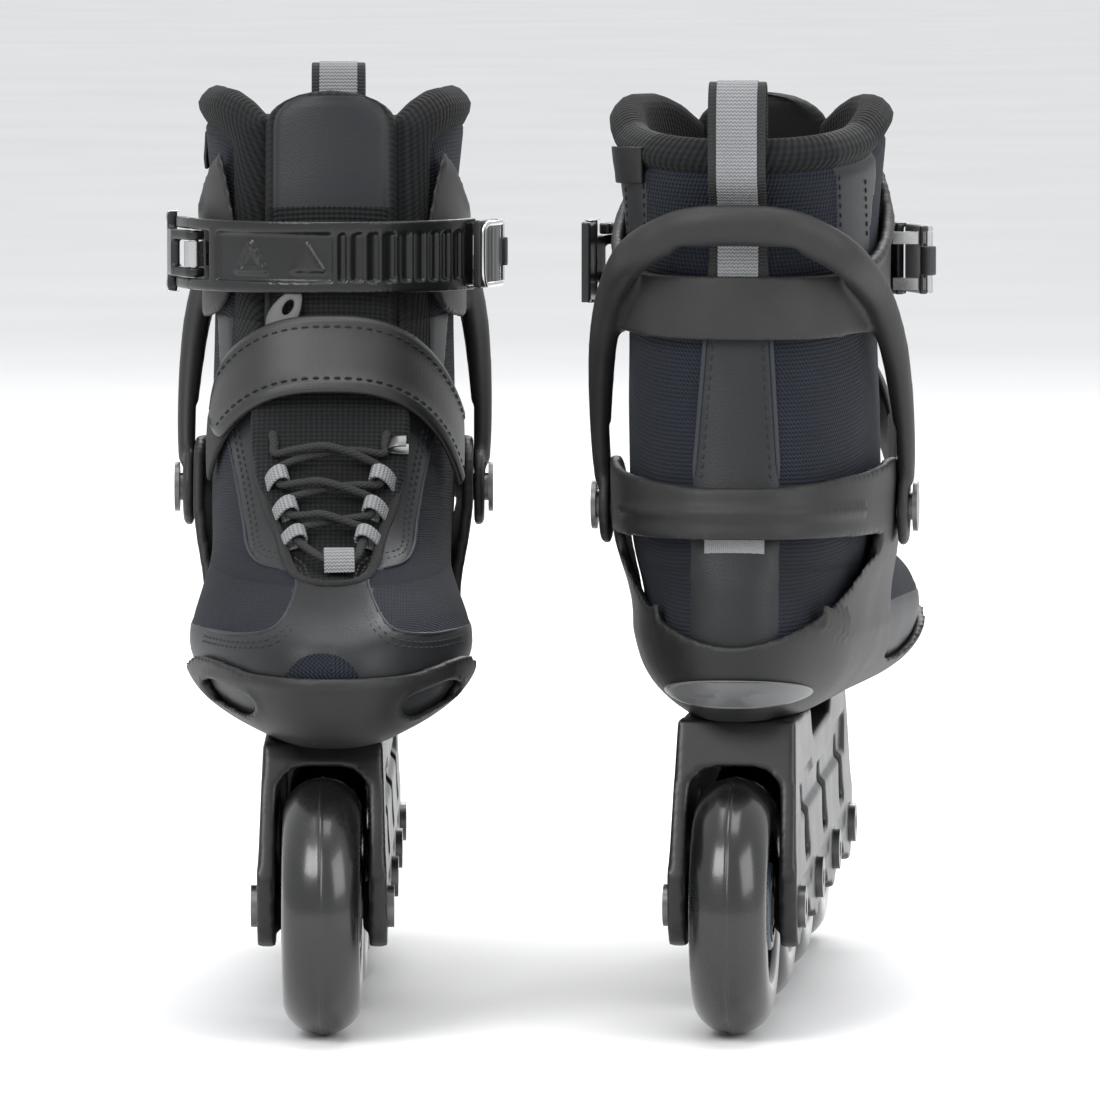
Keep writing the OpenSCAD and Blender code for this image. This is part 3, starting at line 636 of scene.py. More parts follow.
@dataclass
class Wheels:
    """The tyres and hubs, each modelled once around the first wheel and copied."""

    radius: float
    width: float
    rim: float
    count: int = 4
    spokes: int = 7
    core: float = 13.6
    ring: float = 19.6

    @classmethod
    def of_frame(cls) -> "Wheels":
        """Takes the wheel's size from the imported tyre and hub."""
        low, high = (Vector(c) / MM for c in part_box("right_tyre_1"))
        hub_low, hub_high = (Vector(c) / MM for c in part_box("right_hub_1"))
        return cls((high.z - low.z) / 2, high.x - low.x, (hub_high.z - hub_low.z) / 2)

    def tyre(self) -> bpy.types.Object:
        """A cast tyre with a pointed tread, rounded shoulders and a seam round its middle."""
        r, w = self.radius, self.width / 2
        half = smooth_line([(self.rim + 0.05, w * 0.74, 0), (self.rim + 1.2, w * 0.9, 0), (r * 0.68, w * 0.995, 0),
                            (r * 0.79, w * 0.985, 0), (r * 0.87, w * 0.85, 0), (r * 0.935, w * 0.62, 0),
                            (r * 0.976, w * 0.34, 0), (r * 0.992, w * 0.075, 0), (r * 0.9985, 0.28, 0),
                            (r * 0.9985, 0, 0)], 3)
        upper = [(p[0], p[1]) for p in half]
        profile = upper + [(p, -a) for p, a in reversed(upper[:-1])]
        return soften(turned("tyre", profile, self.centre(), steps=112), 50)

    def hub(self) -> bpy.types.Object:
        """A spoked hub: a rim ring, a bearing core and dished spokes."""
        w = self.width / 2
        rim = turned("hub", [(self.rim, -w * 0.72), (self.rim, w * 0.72), (self.rim - 1, w * 0.76),
                             (self.ring, w * 0.70), (self.ring - 0.6, w * 0.5), (self.ring - 0.6, -w * 0.5),
                             (self.ring, -w * 0.70), (self.rim - 1, -w * 0.76)], self.centre(), steps=96)
        core = turned("core", [(11.1, -w * 0.975), (12.8, -w * 0.975), (self.core, -w * 0.92), (self.core, w * 0.92),
                               (12.8, w * 0.975), (11.1, w * 0.975)], self.centre(), steps=72)
        first = self.centre()
        spokes = []
        for i in range(self.spokes):
            spoke = block("spoke", (first.x - w * 0.46, -1.7, self.core - 0.4),
                          (first.x + w * 0.46, 1.7, self.ring + 0.6))
            modify(spoke, "BEVEL", width=1.1 * MM, segments=3)
            turn = Matrix.Rotation(2 * math.pi * i / self.spokes, 4, "X")
            spoke.data.transform(Matrix.Translation(first * MM) @ turn)
            spokes.append(spoke)
        return soften(bevel(join(rim, core, *spokes), 0.35, 2, 40), 35)

    def centre(self, index: int = 1) -> Vector:
        """The middle of a wheel."""
        return joint_place(f"wheel_{index}_spin")

    def build(self, placements: Iterable[Placement]) -> None:
        """Makes every wheel of both skates."""
        tyre, hub = self.tyre(), self.hub()
        dress(tyre, "tyre")
        dress(hub, "hub")
        for place in placements:
            for i in range(1, self.count + 1):
                for piece, name in ((tyre, "tyre"), (hub, "hub")):
                    moved = piece.copy()
                    moved.data = piece.data.copy()
                    bpy.context.collection.objects.link(moved)
                    moved.data.transform(Matrix.Translation((self.centre(i) - self.centre()) * MM))
                    done = place.apply(moved, f"{name}_{i}_cast")
                    bpy.data.objects.remove(moved, do_unlink=True)
                    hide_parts(f"{place.side.value}_{name}_{i}")
                    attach(done, f"{place.side.value}_wheel_{i}")
        for piece in (tyre, hub):
            bpy.data.objects.remove(piece, do_unlink=True)
        LOG.info("wheels: %d on each skate", self.count)


@dataclass
class Frame:
    """The moulded wheel frame under the boot."""

    plate: float = 5.6
    boss: float = 12.5
    low: float = 28.0
    mount: float = 34.0
    pocket: float = 0.9
    voxel: float = 1.05

    def outline(self, axles: Sequence[Vector], bolts: Sequence[float], seat: Callable[[float], float]) -> list:
        """The side view: scallops between the axles below, two mounting blocks above."""
        points: list[tuple[float, float]] = []
        for i, axle in enumerate(axles):
            first, last = i == 0, i == len(axles) - 1
            points += arc((axle.y, axle.z), axle.z - self.low + 0.6, 200 if first else 232, 340 if last else 308, 9)
            if not last:
                gap = (axles[i + 1].y - axle.y) / 2
                points += arc((axle.y + gap, self.low - 5), 14.5, 140, 40, 7)
        front, back = bolts[0], bolts[1]
        waist = seat(0) - 8.4
        points += [(axles[-1].y + 14, axles[-1].z + 9), (back + self.mount + 3, seat(back) - 6),
                   (back + self.mount, seat(back + self.mount))]
        points += [(back - self.mount, seat(back - self.mount)), (back - self.mount - 5, waist + 2.5),
                   (back - self.mount - 10, waist), (front + self.mount + 10, waist),
                   (front + self.mount + 5, waist + 2.5), (front + self.mount, seat(front + self.mount)),
                   (front - self.mount, seat(front - self.mount)), (front - self.mount - 3, seat(front) - 6),
                   (axles[0].y - 14, axles[0].z + 9)]
        return points

    def build(self) -> bpy.types.Object:
        """The whole frame as one moulded piece."""
        axles = [joint_place(f"wheel_{i}_spin") for i in range(1, 5)]
        low, high = box_mm("right_frame")
        bolt_low, bolt_high = box_mm("right_frame_bolts")
        bolts = (bolt_low.y + 7.5, bolt_high.y - 7.5)
        half = (high.x - low.x) / 2
        inside = half - self.plate

        def seat(y: float) -> float:
            """The underside of the shell at y."""
            return FORM.sole_z - 4.55 + FORM.rise(y)

        body = plate("frame", self.outline(axles, bolts, seat), -half, half)
        taper = plate("taper", [(-half, 0), (half, 0), (half, 52), (half - 0.4, 58), (half - 2, high.z + 9),
                                (2 - half, high.z + 9), (0.4 - half, 58), (-half, 52)], low.y - 9, high.y + 9, Axis.Y)
        combine(body, taper, "INTERSECT")
        roof = axles[0].z * 2 + 3
        channel = [(-inside, -1), (inside, -1), (inside, roof - 13)] + arc((inside - 9, roof - 9), 9, 20, 90, 6) \
            + arc((9 - inside, roof - 9), 9, 90, 160, 6) + [(-inside, roof - 13)]
        combine(body, plate("channel", channel, low.y - 9, high.y + 9, Axis.Y), "DIFFERENCE")
        for a, b in zip(axles, axles[1:]):
            y, z = (a.y + b.y) / 2, a.z
            window = arc((y - 8, z + 14), 3, 150, 250, 4) + arc((y + 8, z + 14), 3, 290, 390, 4) \
                + arc((y + 3, z + 30), 3, 30, 90, 3) + arc((y - 3, z + 30), 3, 90, 150, 3)
            combine(body, plate("window", window, -half - 1, half + 1), "DIFFERENCE")
        for side in (-1, 1):
            for a, b in zip(axles, axles[1:]):
                y = (a.y + b.y) / 2
                face = [(y - 17, a.z + 1), (y + 17, a.z + 1), (y + 24, a.z + 7), (y - 24, a.z + 7)]
                combine(body, plate("pocket", face, side * (half - self.pocket), side * (half + 2)), "DIFFERENCE")
            panel = [(bolts[0] - 26, roof - 4), (bolts[0] - 20, roof - 17), (bolts[1] + 20, roof - 17),
                     (bolts[1] + 26, roof - 4), (bolts[1] - 30, roof - 4), (bolts[1] - 38, roof - 8),
                     (bolts[0] + 38, roof - 8), (bolts[0] + 30, roof - 4)]
            combine(body, plate("panel", panel, side * (half - 1.6 - self.pocket), side * (half + 2)), "DIFFERENCE")
        bosses = []
        for axle in axles:
            for side in (-1, 1):
                ends = sorted((side * self.boss, side * (inside + 1)))
                bosses.append(rod("boss", 7.4, *ends, (axle.y, axle.z)))
        for boss in bosses:
            combine(body, boss, "UNION")
        for axle in axles:
            combine(body, rod("bore", 4.1, -half - 2, half + 2, (axle.y, axle.z)), "DIFFERENCE")
            for side in (-1, 1):
                ends = sorted((side * (half - 1), side * (half + 3)))
                combine(body, rod("seat", 7.0, *ends, (axle.y, axle.z)), "DIFFERENCE")
        mould(body, self.voxel, 3)
        return body


# ---------------------------------------------------------------- shell

@dataclass
class Shell:
    """The open plastic shell: toe bumper, floor, heel cup with its window, and ankle wings."""

    gap: float = 0.6
    wall: float = 3.6
    floor: float = 4.5
    flare: float = 2.0
    bumper: float = 24.0
    voxel: float = 1.15
    sides: int = 144

    def grow(self, h: float) -> float:
        """Extra room round the ankle at height h."""
        return self.flare * ease(0.12, 0.3, h / FORM.height)

    def solid(self, name: str, extra: float, heights: Sequence[float]) -> bpy.types.Object:
        """The boot's form grown by extra, as a closed solid through outlines at the heights."""
        points = []
        n = self.sides
        for h in heights:
            points += [FORM.point(360 * i / n, h, extra + self.grow(h)) for i in range(n)]
        faces = skin_faces(len(heights), n)
        faces += [list(reversed(range(n))), [(len(heights) - 1) * n + i for i in range(n)]]
        return outwards(mesh_piece(name, points, faces))

    def profile(self, hinge: Vector) -> list[Vector]:
        """The side view of the shell's upper edge, from the toe to the heel."""
        toe, heel = -FORM.toe_reach, FORM.length - FORM.toe_reach
        top = FORM.sole_z + self.bumper
        edge = smooth_line([(toe - 12, top - 5.4, 0), (toe + 10, top - 5, 0), (toe + 28, top - 3, 0),
                            (toe + 46, top - 2.4, 0), (toe + 64, top - 6, 0), (toe + 84, top - 12, 0),
                            (toe + 104, top - 14.5, 0),
                            (hinge.y - 52, top - 12, 0), (hinge.y - 36, top - 3, 0), (hinge.y - 25, hinge.z - 22, 0),
                            (hinge.y - 18, hinge.z - 2, 0), (hinge.y - 13, hinge.z + 9, 0),
                            (hinge.y - 4, hinge.z + 14, 0), (hinge.y + 10, hinge.z + 16, 0),
                            (hinge.y + 34, hinge.z + 14.5, 0), (heel - 22, hinge.z + 13, 0),
                            (heel + 14, hinge.z + 9, 0)], 5)
        return edge

    def build(self) -> bpy.types.Object:
        """The shell as one moulded piece."""
        hinge = joint_place("cuff_flex")
        heel = FORM.length - FORM.toe_reach
        levels = [-self.floor, -3, -1.5, 0, 2, 4, 6, 9, 12, 16, 20, 25, 30, 36, 42, 48, 54, 60, 67, 74, 81, 90]
        outer = self.solid("shell", self.gap + self.wall, levels)
        edge = [(p.x, p.y) for p in self.profile(hinge)]
        combine(outer, plate("side", edge + [(heel + 20, 0), (-FORM.toe_reach - 20, 0)], -90, 90), "INTERSECT")
        combine(outer, self.solid("inside", self.gap, [max(h, -0.4) + 0.01 * i for i, h in enumerate(levels[2:])]
                                  + [99]), "DIFFERENCE")
        combine(outer, self.window(hinge), "DIFFERENCE")
        for side in (-1, 1):
            vent = self.vent(side, 4.0, 9.2)
            combine(outer, vent, "DIFFERENCE")
        rims = [self.vent_rim(side) for side in (-1, 1)]
        join(outer, *rims, *self.ribs(hinge))
        for bolt in (-1, 1):
            low, high = box_mm("right_frame_bolts")
            y = high.y - 7.5 if bolt > 0 else low.y + 7.5
            combine(outer, rod("bolt_hole", 4.1, 60, 115, (0, y), Axis.Z), "DIFFERENCE")
        mould(outer, self.voxel, 3)
        return outer

    def window(self, hinge: Vector) -> bpy.types.Object:
        """The smile-shaped opening behind the heel."""
        top, low, half = hinge.z - 6.5, hinge.z - 37, FORM.width * 0.455
        points = smooth_line([(-half, top, 0), (0, top + 2.2, 0), (half, top, 0), (half * 0.93, top - 9, 0),
                              (half * 0.6, low + 7, 0), (0, low, 0), (-half * 0.6, low + 7, 0),
                              (-half * 0.93, top - 9, 0)], 8, closed=True)
        return plate("window", [(p.x, p.y) for p in points], hinge.y + 26, hinge.y + 140, Axis.Y)

    def vent(self, side: int, radius: float, reach: float) -> bpy.types.Object:
        """A slot with round ends through the toe bumper."""
        x, z = side * FORM.width * 0.352 + FORM.toe_swing * 0.6, FORM.sole_z + 9.6
        lean = math.radians(15 * side)
        ring = arc((reach - radius, 0), radius, -90, 90, 8) + arc((radius - reach, 0), radius, 90, 270, 8)
        points = [(x + p * math.cos(lean) - q * math.sin(lean), z + p * math.sin(lean) + q * math.cos(lean))
                  for p, q in ring]
        return plate("vent", points, -FORM.toe_reach - 30, -FORM.toe_reach + 52, Axis.Y)

    def vent_rim(self, side: int) -> bpy.types.Object:
        """The raised rim round a vent, following the bumper's face."""
        x, z = side * FORM.width * 0.352 + FORM.toe_swing * 0.6, FORM.sole_z + 9.6
        lean = math.radians(15 * side)
        path = []
        for i in range(32):
            t = 2 * math.pi * i / 32
            p = math.copysign(5.2, math.cos(t)) + 4.7 * math.cos(t)
            q = 4.7 * math.sin(t)
            path.append(self.on_face(x + p * math.cos(lean) - q * math.sin(lean),
                                     z + p * math.sin(lean) + q * math.cos(lean)))
        return sweep("rim", path, round_section(1.0, 8), lambda p, s: Vector((0, 0, 1)), closed=True)

    def on_face(self, x: float, z: float) -> Vector:
        """The point of the bumper's outer face at x and z, seen from the front."""
        side, h = (90, z - FORM.sole_z) if x > 0 else (270, z - FORM.sole_z)
        low, high = (0, side) if x > 0 else (360, side)
        for _ in range(24):
            middle = (low + high) / 2
            if abs(FORM.point(middle, h, self.gap + self.wall).x) < abs(x):
                low = middle
            else:
                high = middle
        return FORM.point(low, h, self.gap + self.wall - 0.2)

    def ribs(self, hinge: Vector) -> list[bpy.types.Object]:
        """Raised lines: under the bumper's edge, round the heel band, and blocks beside the heel."""
        lines = []
        extra = self.gap + self.wall - 0.5
        band = [FORM.point(a, hinge.z + 3 - FORM.sole_z - FORM.rise(110), extra + self.flare)
                for a in range(128, 233, 4)]
        lines.append(sweep("band", band, lambda s: [(q, p) for p, q in flat_section(1.3, 1.7, 0.6)],
                           lambda p, s: Vector((0, 0, 1))))
        lip = [FORM.point(a, self.bumper - 8, extra) for a in range(-44, 45, 4)]
        lines.append(sweep("lip", lip, round_section(1.1, 8), lambda p, s: Vector((0, 0, 1))))
        for side in (-1, 1):
            angle = 180 - side * 40
            wedge = [FORM.point(angle + side * t, 26 + 2.5 * t / 8, extra + 0.6) for t in range(-7, 8, 2)]
            lines.append(sweep("wedge", wedge, lambda s: [(q, p) for p, q in flat_section(3.6, 2.2, 0.9)],
                               lambda p, s: Vector((0, 0, 1))))
        return lines


# ---------------------------------------------------------------- cuff

@dataclass
class Cuff:
    """The hinged cuff: wings, back band with its eye slot, and the arch tube down to both hinges."""

    gap: float = 1.2
    wall: float = 3.0
    arch: float = 4.7
    voxel: float = 1.0
    sides: int = 128

    def arch_line(self, side: int, hinge: Vector) -> list[Vector]:
        """The middle of the arch tube, from a hinge to the middle of the back."""
        pad = FORM.width / 2 * HINGE_SHARE + 6.2 + 1.75
        back = FORM.back_y(150)
        return [Vector(p) for p in (
            (side * (pad + 0.3), hinge.y - 1, hinge.z - 3), (side * (pad + 0.9), hinge.y + 3, hinge.z + 8),
            (side * (pad + 1.2), hinge.y + 10, hinge.z + 21), (side * (pad + 0.4), hinge.y + 20, hinge.z + 37),
            (side * (pad - 1.6), hinge.y + 33, hinge.z + 54), (side * (pad - 6), hinge.y + 50, hinge.z + 70),
            (side * (pad - 14), back + 0.5, hinge.z + 82), (side * (pad - 27), back + 7.0, hinge.z + 89.5),
            (side * (pad - 38), back + 9.6, hinge.z + 91.7), (-side * 3, back + 10, hinge.z + 92))]

    def band(self, hinge: Vector) -> bpy.types.Object:
        """The wings and the plate behind the ankle."""
        shell = Shell(sides=self.sides, flare=0)
        heights = [h for h in range(96, 200, 4)]
        outer = shell.solid("cuff", self.gap + self.wall, heights)
        inner = shell.solid("inside", self.gap, [heights[0] - 3] + heights[1:-1] + [heights[-1] + 3])
        combine(outer, inner, "DIFFERENCE")
        front = FORM.front_y(150) + 10
        low, mid, horn = hinge.z + 56, hinge.z + 76, hinge.z + 110
        side = smooth_line([(front + 2, horn - 3, 0), (front + 8, horn + 0.5, 0), (front + 14, horn - 2, 0),
                            (hinge.y + 2, mid + 18, 0), (hinge.y + 26, mid + 8, 0), (hinge.y + 50, mid + 2, 0),
                            (hinge.y + 74, mid, 0), (hinge.y + 110, mid, 0)], 5)
        side += [Vector((hinge.y + 110, low, 0))]
        side += smooth_line([(hinge.y + 74, low, 0), (hinge.y + 40, low + 1, 0), (hinge.y + 10, low - 1, 0),
                             (front + 10, low + 2, 0), (front + 1, low + 9, 0), (front - 3, mid - 4, 0),
                             (front - 3, mid + 12, 0)], 5)
        combine(outer, plate("side", [(p.x, p.y) for p in side], -90, 90), "INTERSECT")
        opening = [(-29, low - 20), (29, low - 20), (29, mid), (33, horn - 12), (40, horn + 20),
                   (-40, horn + 20), (-33, horn - 12), (-29, mid)]
        combine(outer, plate("front", opening, -120, hinge.y - 2, Axis.Y), "DIFFERENCE")
        return outer

    def build(self) -> bpy.types.Object:
        """The cuff as one moulded piece."""
        hinge = joint_place("cuff_flex")
        body = self.band(hinge)
        tubes = []
        for side in (-1, 1):
            line = smooth_line(self.arch_line(side, hinge), 6)
            tubes.append(sweep("arch", line, self.section, lambda p, s, side=side: self.outward(p, side)))
            pad = FORM.width / 2 * HINGE_SHARE + 6.6
            ends = sorted((side * pad, side * (pad + 3.4)))
            tubes.append(rod("pad", 12.4, *ends, (hinge.y, hinge.z)))
            rim = self.wing_rim(side, hinge)
            tubes.append(rim)
        join(body, *tubes)
        mould(body, self.voxel, 1)
        ring = rod("hinge_bore", 4.6, -90, 90, (hinge.y, hinge.z))
        combine(body, ring, "DIFFERENCE")
        room = FORM.width / 2 * HINGE_SHARE + 6.45
        combine(body, block("clear", (-room, hinge.y - 40, hinge.z - 40), (room, hinge.y + 46, hinge.z + 27)),
                "DIFFERENCE")
        for side in (-1, 1):
            ends = sorted((side * (room + 3.75), side * 90))
            combine(body, rod("head_seat", 8.5, *ends, (hinge.y, hinge.z)), "DIFFERENCE")
        slot = arc((16, 0), 4.6, -90, 90, 8) + arc((-16, 0), 4.6, 90, 270, 8)
        z = hinge.z + 81
        combine(body, plate("eye", [(p, z + q * 0.95) for p, q in slot], hinge.y + 50, hinge.y + 130, Axis.Y),
                "DIFFERENCE")
        mould(body, self.voxel, 3)
        return body

    def section(self, share: float) -> list[tuple[float, float]]:
        """The arch's section: an oval, slimmer down at the hinge."""
        wide, deep = mix(4.6, 6.6, ease(0.2, 1, share)), mix(3.0, self.arch, ease(0.05, 0.5, share))
        return [(wide * math.cos(2 * math.pi * i / 20), deep * math.sin(2 * math.pi * i / 20)) for i in range(20)]

    @staticmethod
    def outward(place: Vector, side: int) -> Vector:
        """The direction straight out of the ankle at a point of the arch."""
        return Vector((place.x, place.y - 62, 0)).normalized() if abs(place.x) < 46 else Vector((side, 0, 0))

    def wing_rim(self, side: int, hinge: Vector) -> bpy.types.Object:
        """The raised edge along the top of a wing."""
        front = FORM.front_y(150) + 10
        mid, horn = hinge.z + 76, hinge.z + 110
        points = []
        for y, z in ((front + 12, horn - 3.5), (hinge.y + 2, mid + 15.5), (hinge.y + 26, mid + 5.5),
                     (hinge.y + 46, mid + 0.5)):
            a, h = FORM.on_side(y, z, side > 0)
            points.append(FORM.point(a, h, self.gap + self.wall))
        return sweep("rim", smooth_line(points, 6), round_section(1.3, 8), lambda p, s: Vector((0, 0, 1)))


# ---------------------------------------------------------------- buckle

@dataclass
class Buckle:
    """The ratchet strap across the cuff, its closing lever and its catch."""

    half: float = 11.5
    thick: float = 4.0
    rail: float = 3.6
    tooth: float = 5.0
    first_tooth: float = 6.0
    last_tooth: float = 58.0
    tail: float = 66.0
    voxel: float = 0.6

    def __post_init__(self) -> None:
        """Finds the strap's arc from the two pins."""
        self.lever_pin = joint_place("lever_swing")
        self.catch_pin = joint_place("catch_release")
        self.lever_at = -64.0
        self.radius = -self.lever_pin.x / math.sin(math.radians(-self.lever_at)) - self.thick / 2
        self.mid_y = self.lever_pin.y + (self.radius + self.thick / 2) * math.cos(math.radians(self.lever_at))

    def at(self, angle: float, radius: float, up: float = 0.0) -> Vector:
        """A point round the ankle: its angle from the front towards the inner side, its radius and its height."""
        a = math.radians(angle)
        return Vector((radius * math.sin(a), self.mid_y - radius * math.cos(a), self.lever_pin.z + up))

    def band(self, name: str, r_in: float, r_out: float, low: float, high: float, start: float, end: float,
             steps: int = 40) -> bpy.types.Object:
        """A stretch of ring round the ankle, between two radii and two heights."""
        ring = [self.at(mix(start, end, i / steps), r_in) for i in range(steps + 1)]
        ring += [self.at(mix(end, start, i / steps), r_out) for i in range(steps + 1)]
        z = self.lever_pin.z
        return plate(name, [(p.x, p.y) for p in ring], z + low, z + high, Axis.Z)

    def strap(self) -> bpy.types.Object:
        """The toothed strap with its two rails, forked end and raised triangles."""
        r, t, h = self.radius, self.thick, self.half
        parts = [self.band("strap", r, r + t * 0.68, -h, h, self.lever_at + 14, self.tail, 60)]
        for side in (-1, 1):
            low, high = sorted((side * h, side * (h - self.rail)))
            parts.append(self.band("rail", r + 0.2, r + t, low, high, self.lever_at - 18, self.last_tooth, 60))
            parts.append(self.band("lip", r + 0.3, r + t, low + (0.0 if side < 0 else 2.4),
                                   high - (2.4 if side < 0 else 0.0), self.last_tooth - 2, self.tail - 1, 8))
        step = math.degrees(self.tooth / r)
        angle = self.first_tooth
        while angle < self.last_tooth:
            tooth = [self.at(angle + step * turn, r + t * deep)
                     for turn, deep in ((0, 0.5), (0, 0.97), (0.2, 0.97), (0.62, 0.66), (0.62, 0.5))]
            z = self.lever_pin.z
            parts.append(plate("tooth", [(p.x, p.y) for p in tooth], z - h + self.rail + 0.6, z + h - self.rail - 0.6,
                               Axis.Z))
            angle += step
        parts.append(self.band("stop", r + t * 0.5, r + t, -h + 2, h - 2, 1.2, 3.0, 4))
        parts.append(self.band("stop", r + t * 0.5, r + t, -h + 2, h - 2, self.lever_at + 14, self.lever_at + 18, 4))
        parts += self.triangle(-30.5, 5.2, True) + self.triangle(-8, 5.2, False)
        body = parts[0]
        for part in parts[1:]:
            combine(body, part, "UNION")
        pin = self.at(self.lever_at, self.radius + self.thick / 2)
        combine(body, rod("hole", 1.62, pin.z - 20, pin.z + 20, (pin.x, pin.y), Axis.Z), "DIFFERENCE")
        return mould(body, self.voxel, 2)

    def triangle(self, angle: float, size: float, hollow: bool) -> list[bpy.types.Object]:
        """A raised triangle on the strap's face, filled or as an outline of three bars."""
        r = self.radius + self.thick * 0.6
        corner = [(-size, -size * 0.85), (size, -size * 0.85), (0, size * 0.85)]

        def lifted(p: tuple[float, float], extra: float) -> Vector:
            """A point of the triangle on the strap's face."""
            return self.at(angle + math.degrees(p[0] / r), r + extra, p[1])

        if not hollow:
            points = [lifted(p, e) for e in (0, 1.25) for p in corner]
            faces = [[0, 1, 2], [5, 4, 3], [0, 3, 4, 1], [1, 4, 5, 2], [2, 5, 3, 0]]
            return [outwards(mesh_piece("mark", points, faces))]
        bars = []
        for a, b in zip(corner, corner[1:] + corner[:1]):
            path = [lifted((mix(a[0], b[0], t), mix(a[1], b[1], t)), 0.6) for t in (-0.04, 0.5, 1.04)]
            bars.append(sweep("bar", path, round_section(0.75, 8), lambda p, s: Vector((0, 0.3, 1))))
        return bars

    def lever(self) -> bpy.types.Object:
        """The closing lever: two cheeks on the pin, then a curved handle with a thick rim."""
        pin = self.lever_pin
        leg_in = self.half - self.rail - 0.4
        handle = [(-7.2, 7), (-7.7, 16), (-7.8, 25), (-7.2, 33), (-6.6, 38), (-3.6, 38), (-4.2, 33), (-4.7, 25),
                  (-4.6, 16), (-4.2, 7)]
        body = plate("lever", handle, -12.6, 12.6, Axis.Z)
        combine(body, plate("neck", [(-8, 5), (-8, 19), (-3, 19), (-3, 5)], leg_in, 14, Axis.Z), "DIFFERENCE")
        combine(body, plate("neck", [(-8, 5), (-8, 19), (-3, 19), (-3, 5)], -14, -leg_in, Axis.Z), "DIFFERENCE")
        cheek = arc((0, 0), 3.3, 200, 360, 8) + arc((0, 0), 3.3, 0, 40, 3) + [(-4.2, 9), (-7.2, 9), (-7.2, 7)]
        for low, high in ((4.4, leg_in), (-leg_in, -4.4)):
            combine(body, plate("cheek", cheek, low, high, Axis.Z), "UNION")
        panel = [(-9, 22), (-9, 31), (-7.1, 31), (-7.2, 22)]
        combine(body, plate("panel", panel, -9.4, 9.4, Axis.Z), "DIFFERENCE")
        for i in range(4):
            combine(body, rod("grip", 0.7, -9, 9, (-7.5, 32.4 + 1.5 * i), Axis.Z, 12), "DIFFERENCE")
        combine(body, rod("hole", 1.58, -20, 20, (0, 0), Axis.Z), "DIFFERENCE")
        mould(body, self.voxel, 2)
        body.data.transform(Matrix.Translation(pin * MM) @ Matrix.Rotation(math.radians(5), 4, "Z"))
        return body

    def bracket(self) -> bpy.types.Object:
        """The bright steel bracket along the lever's upper and lower edge, with its cross pin."""
        parts = []
        for side in (-1, 1):
            low, high = sorted((side * 12.75, side * 13.0))
            outline = [(-7.6, 19), (-7.6, 27), (-4.9, 33), (-3.9, 30), (-3.9, 19)]
            parts.append(plate("bracket", outline, low - 0.05, high + 0.05, Axis.Z))
        parts.append(rod("cross", 1.3, -13.0, 13.0, (-5.7, 21.4), Axis.Z, 24))
        body = bevel(join(*parts), 0.25, 2)
        body.data.transform(Matrix.Translation(self.lever_pin * MM) @ Matrix.Rotation(math.radians(5), 4, "Z"))
        return soften(body, 40)

    def catch(self) -> bpy.types.Object:
        """The catch over the strap's toothed end, with a thumb lip and ribs."""
        inner = self.radius + self.thick + 0.95
        body = self.band("catch", inner, inner + 2.9, -10.9, 10.9, 60.4, 77.8, 24)
        combine(body, self.band("neck", inner, inner + 2.6, -4.7, 4.7, 76, 82, 8), "UNION")
        pin = self.catch_pin
        combine(body, rod("eye", 2.6, pin.z - 4.7, pin.z + 4.7, (pin.x, pin.y), Axis.Z), "UNION")
        for i in range(4):
            combine(body, self.band("rib", inner + 2.5, inner + 3.3, -8.5, 8.5, 62 + 3 * i, 63.2 + 3 * i, 3),
                    "DIFFERENCE")
        combine(body, rod("hole", 1.58, pin.z - 9, pin.z + 9, (pin.x, pin.y), Axis.Z), "DIFFERENCE")
        return mould(body, self.voxel, 2)

    def wire(self) -> bpy.types.Object:
        """The bright spring wire round the catch."""
        r = self.radius + self.thick + 4.7
        path = [self.at(a, r, 9.8) for a in range(76, 62, -2)] + [self.at(61.2, r, 8.6), self.at(60.6, r, 6)]
        path += [self.at(60.6, r, -6), self.at(61.2, r, -8.6)] + [self.at(a, r, -9.8) for a in range(62, 77, 2)]
        return soften(sweep("wire", smooth_line(path, 2), round_section(0.9, 10),
                            lambda p, s: Vector((p.x, p.y - self.mid_y, 0)).normalized()), 60)


# ---------------------------------------------------------------- upper

